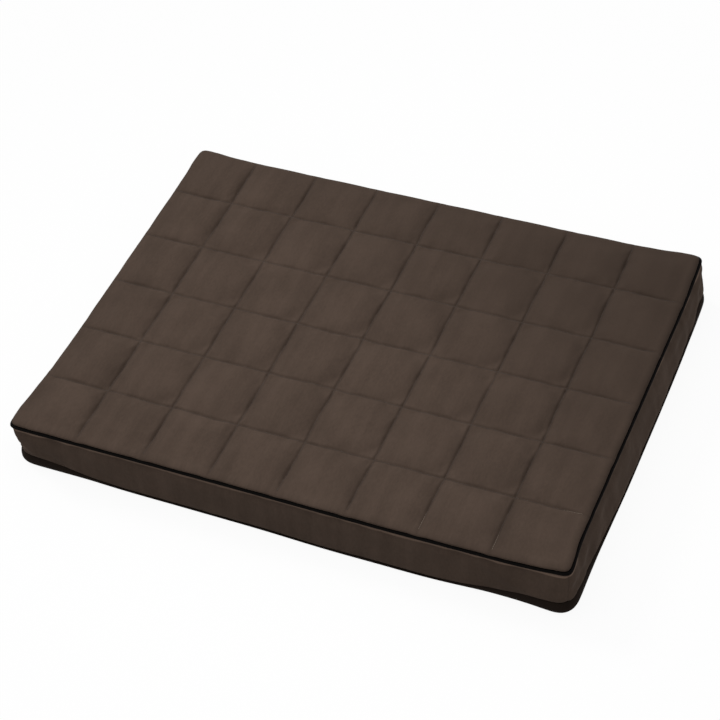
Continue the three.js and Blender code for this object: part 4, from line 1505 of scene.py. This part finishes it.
hem_rows = [
    panel_row(panel_gap[0] + HEM_STITCHES, upper_panel),
    panel_row(panel_gap[1] - HEM_STITCHES, lower_panel),
]
hem_sizes = {"Pitch": 3.0 * MM, "Length": 2.5 * MM, "Thread": 0.45 * MM, "Rise": 0.3 * MM}
hem_sizes.update({"Up": (0.0, 1.0, 0.0), "Material": quilt_thread})
hem_stitches = run_tree("hem_stitches", hem_rows, stitch_tree, hem_sizes)
print("hem stitches:", triangles(hem_stitches), "triangles")

# %% [markdown]
# The zip's coils are wound by their tree inside the boxes of the frame's plain coils. The
# slider and its pull keep the frame's shape: a copy is merged, its edges are rounded, and it
# rides on its own body, so that it still slides and swings.

# %% Zip coils, slider and pull
COIL_PITCH, COIL_WIRE, COIL_LEAN = 1.5 * MM, 0.72 * MM, 0.18
COIL_FIT = 0.99  # share of the frame's coil that the loops fill


def wind_coil(name, node, lean):
    low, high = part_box(node)
    middle = (low + high) / 2
    reach = COIL_WIRE / 2 + 0.3 * MM
    line = [(low.x + reach, middle.y, middle.z), (high.x - reach, middle.y, middle.z)]
    values = {"Pitch": COIL_PITCH, "Wire": COIL_WIRE, "Lean": lean, "Material": coil_nylon}
    values.update({"Width": (high.z - low.z) * COIL_FIT, "Depth": (high.y - low.y) * COIL_FIT})
    return run_tree(name, [line], coil_tree, values)


def rounded_copy(name, node, width):
    """A frame node's shape with its doubled points merged and its edges rounded."""
    piece = bpy.data.objects.new(name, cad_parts[node].data.copy())
    show(piece)
    merge = piece.modifiers.new("merge", "WELD")
    merge.merge_threshold = 0.001 * MM
    edges = piece.modifiers.new("edges", "BEVEL")
    edges.width = width
    edges.segments = 2
    edges.limit_method = "ANGLE"
    edges.angle_limit = math.radians(35)
    bake(piece)
    piece.data.shade_smooth()
    piece.data.set_sharp_from_angle(angle=math.radians(50))
    return piece


upper_coil = wind_coil("upper_coil_loops", "zip_coil_upper", COIL_LEAN)
lower_coil = wind_coil("lower_coil_loops", "zip_coil_lower", -COIL_LEAN)
slider = rounded_copy("slider_casting", "zip_slider", 0.18 * MM)
pull = rounded_copy("pull_tab", "zip_pull", 0.22 * MM)
print("zip:", [triangles(p) for p in (upper_coil, lower_coil, slider, pull)], "triangles")

# %% [markdown]
# Now each piece gets its finish and rides on its body, and the frame node that it stands for is
# hidden.

# %% Finishes and bodies
def set_finish(data, finish):
    data.materials.clear()
    data.materials.append(finish)


SUEDE, LINER = (suede_band, "suede_band"), (liner_weave, "liner_cloth")
METAL = zip_metal, "zip_metal"
COIL = None, "zip_nylon"
placed = [
    (quilt_face, (suede_top, "suede_top"), "quilt_face"),
    (wadding, (wadding_fibre, "batting"), "quilt_wadding"),
    (backing, LINER, "quilt_backing"),
    (piping, (piping_weave, "piping_cloth"), "piping_sleeve"),
    (cord, (cord_fibre, "batting"), "piping_cord"),
    (base, (base_weave, "base_cloth"), "base_panel"),
    (bands[LEFT], SUEDE, "left_band"),
    (bands[FRONT], SUEDE, "front_band"),
    (bands[RIGHT], SUEDE, "right_band"),
    (rear_right, SUEDE, "zip_end_band_right"),
    (rear_left, SUEDE, "zip_end_band_left"),
    (upper_panel, SUEDE, "zip_panel_upper"),
    (lower_panel, SUEDE, "zip_panel_lower"),
    (support, (support_sponge, "support_foam"), "support_foam"),
    (topper, (topper_sponge, "topper_foam"), "topper_foam"),
    (liner, LINER, "liner_cover"),
    (liner_base, LINER, "liner_floor"),
    (quilting, (None, "piping_cloth"), None),
    (tails, (None, "batting"), None),
    (hem_stitches, (None, "piping_cloth"), None),
    (upper_coil, COIL, "zip_coil_upper"),
    (lower_coil, COIL, "zip_coil_lower"),
    (slider, METAL, "zip_slider"),
    (pull, METAL, "zip_pull"),
]
for piece, (finish, slot), node in placed:
    body = {"zip_slider": "slider", "zip_pull": "pull"}.get(node, "bed")
    if finish is not None:  # the trees have given their own pieces a finish already
        set_finish(piece.data, finish)
    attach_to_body(piece, body)
    if node is not None:
        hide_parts(node)
kept = {"zip_tape_upper": tape_weave, "zip_tape_lower": tape_weave}
kept.update({node: zip_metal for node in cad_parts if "_stop" in node})
for node, finish in kept.items():
    set_finish(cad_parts[node].data, finish)
print("frame nodes kept in view:", sorted(kept))
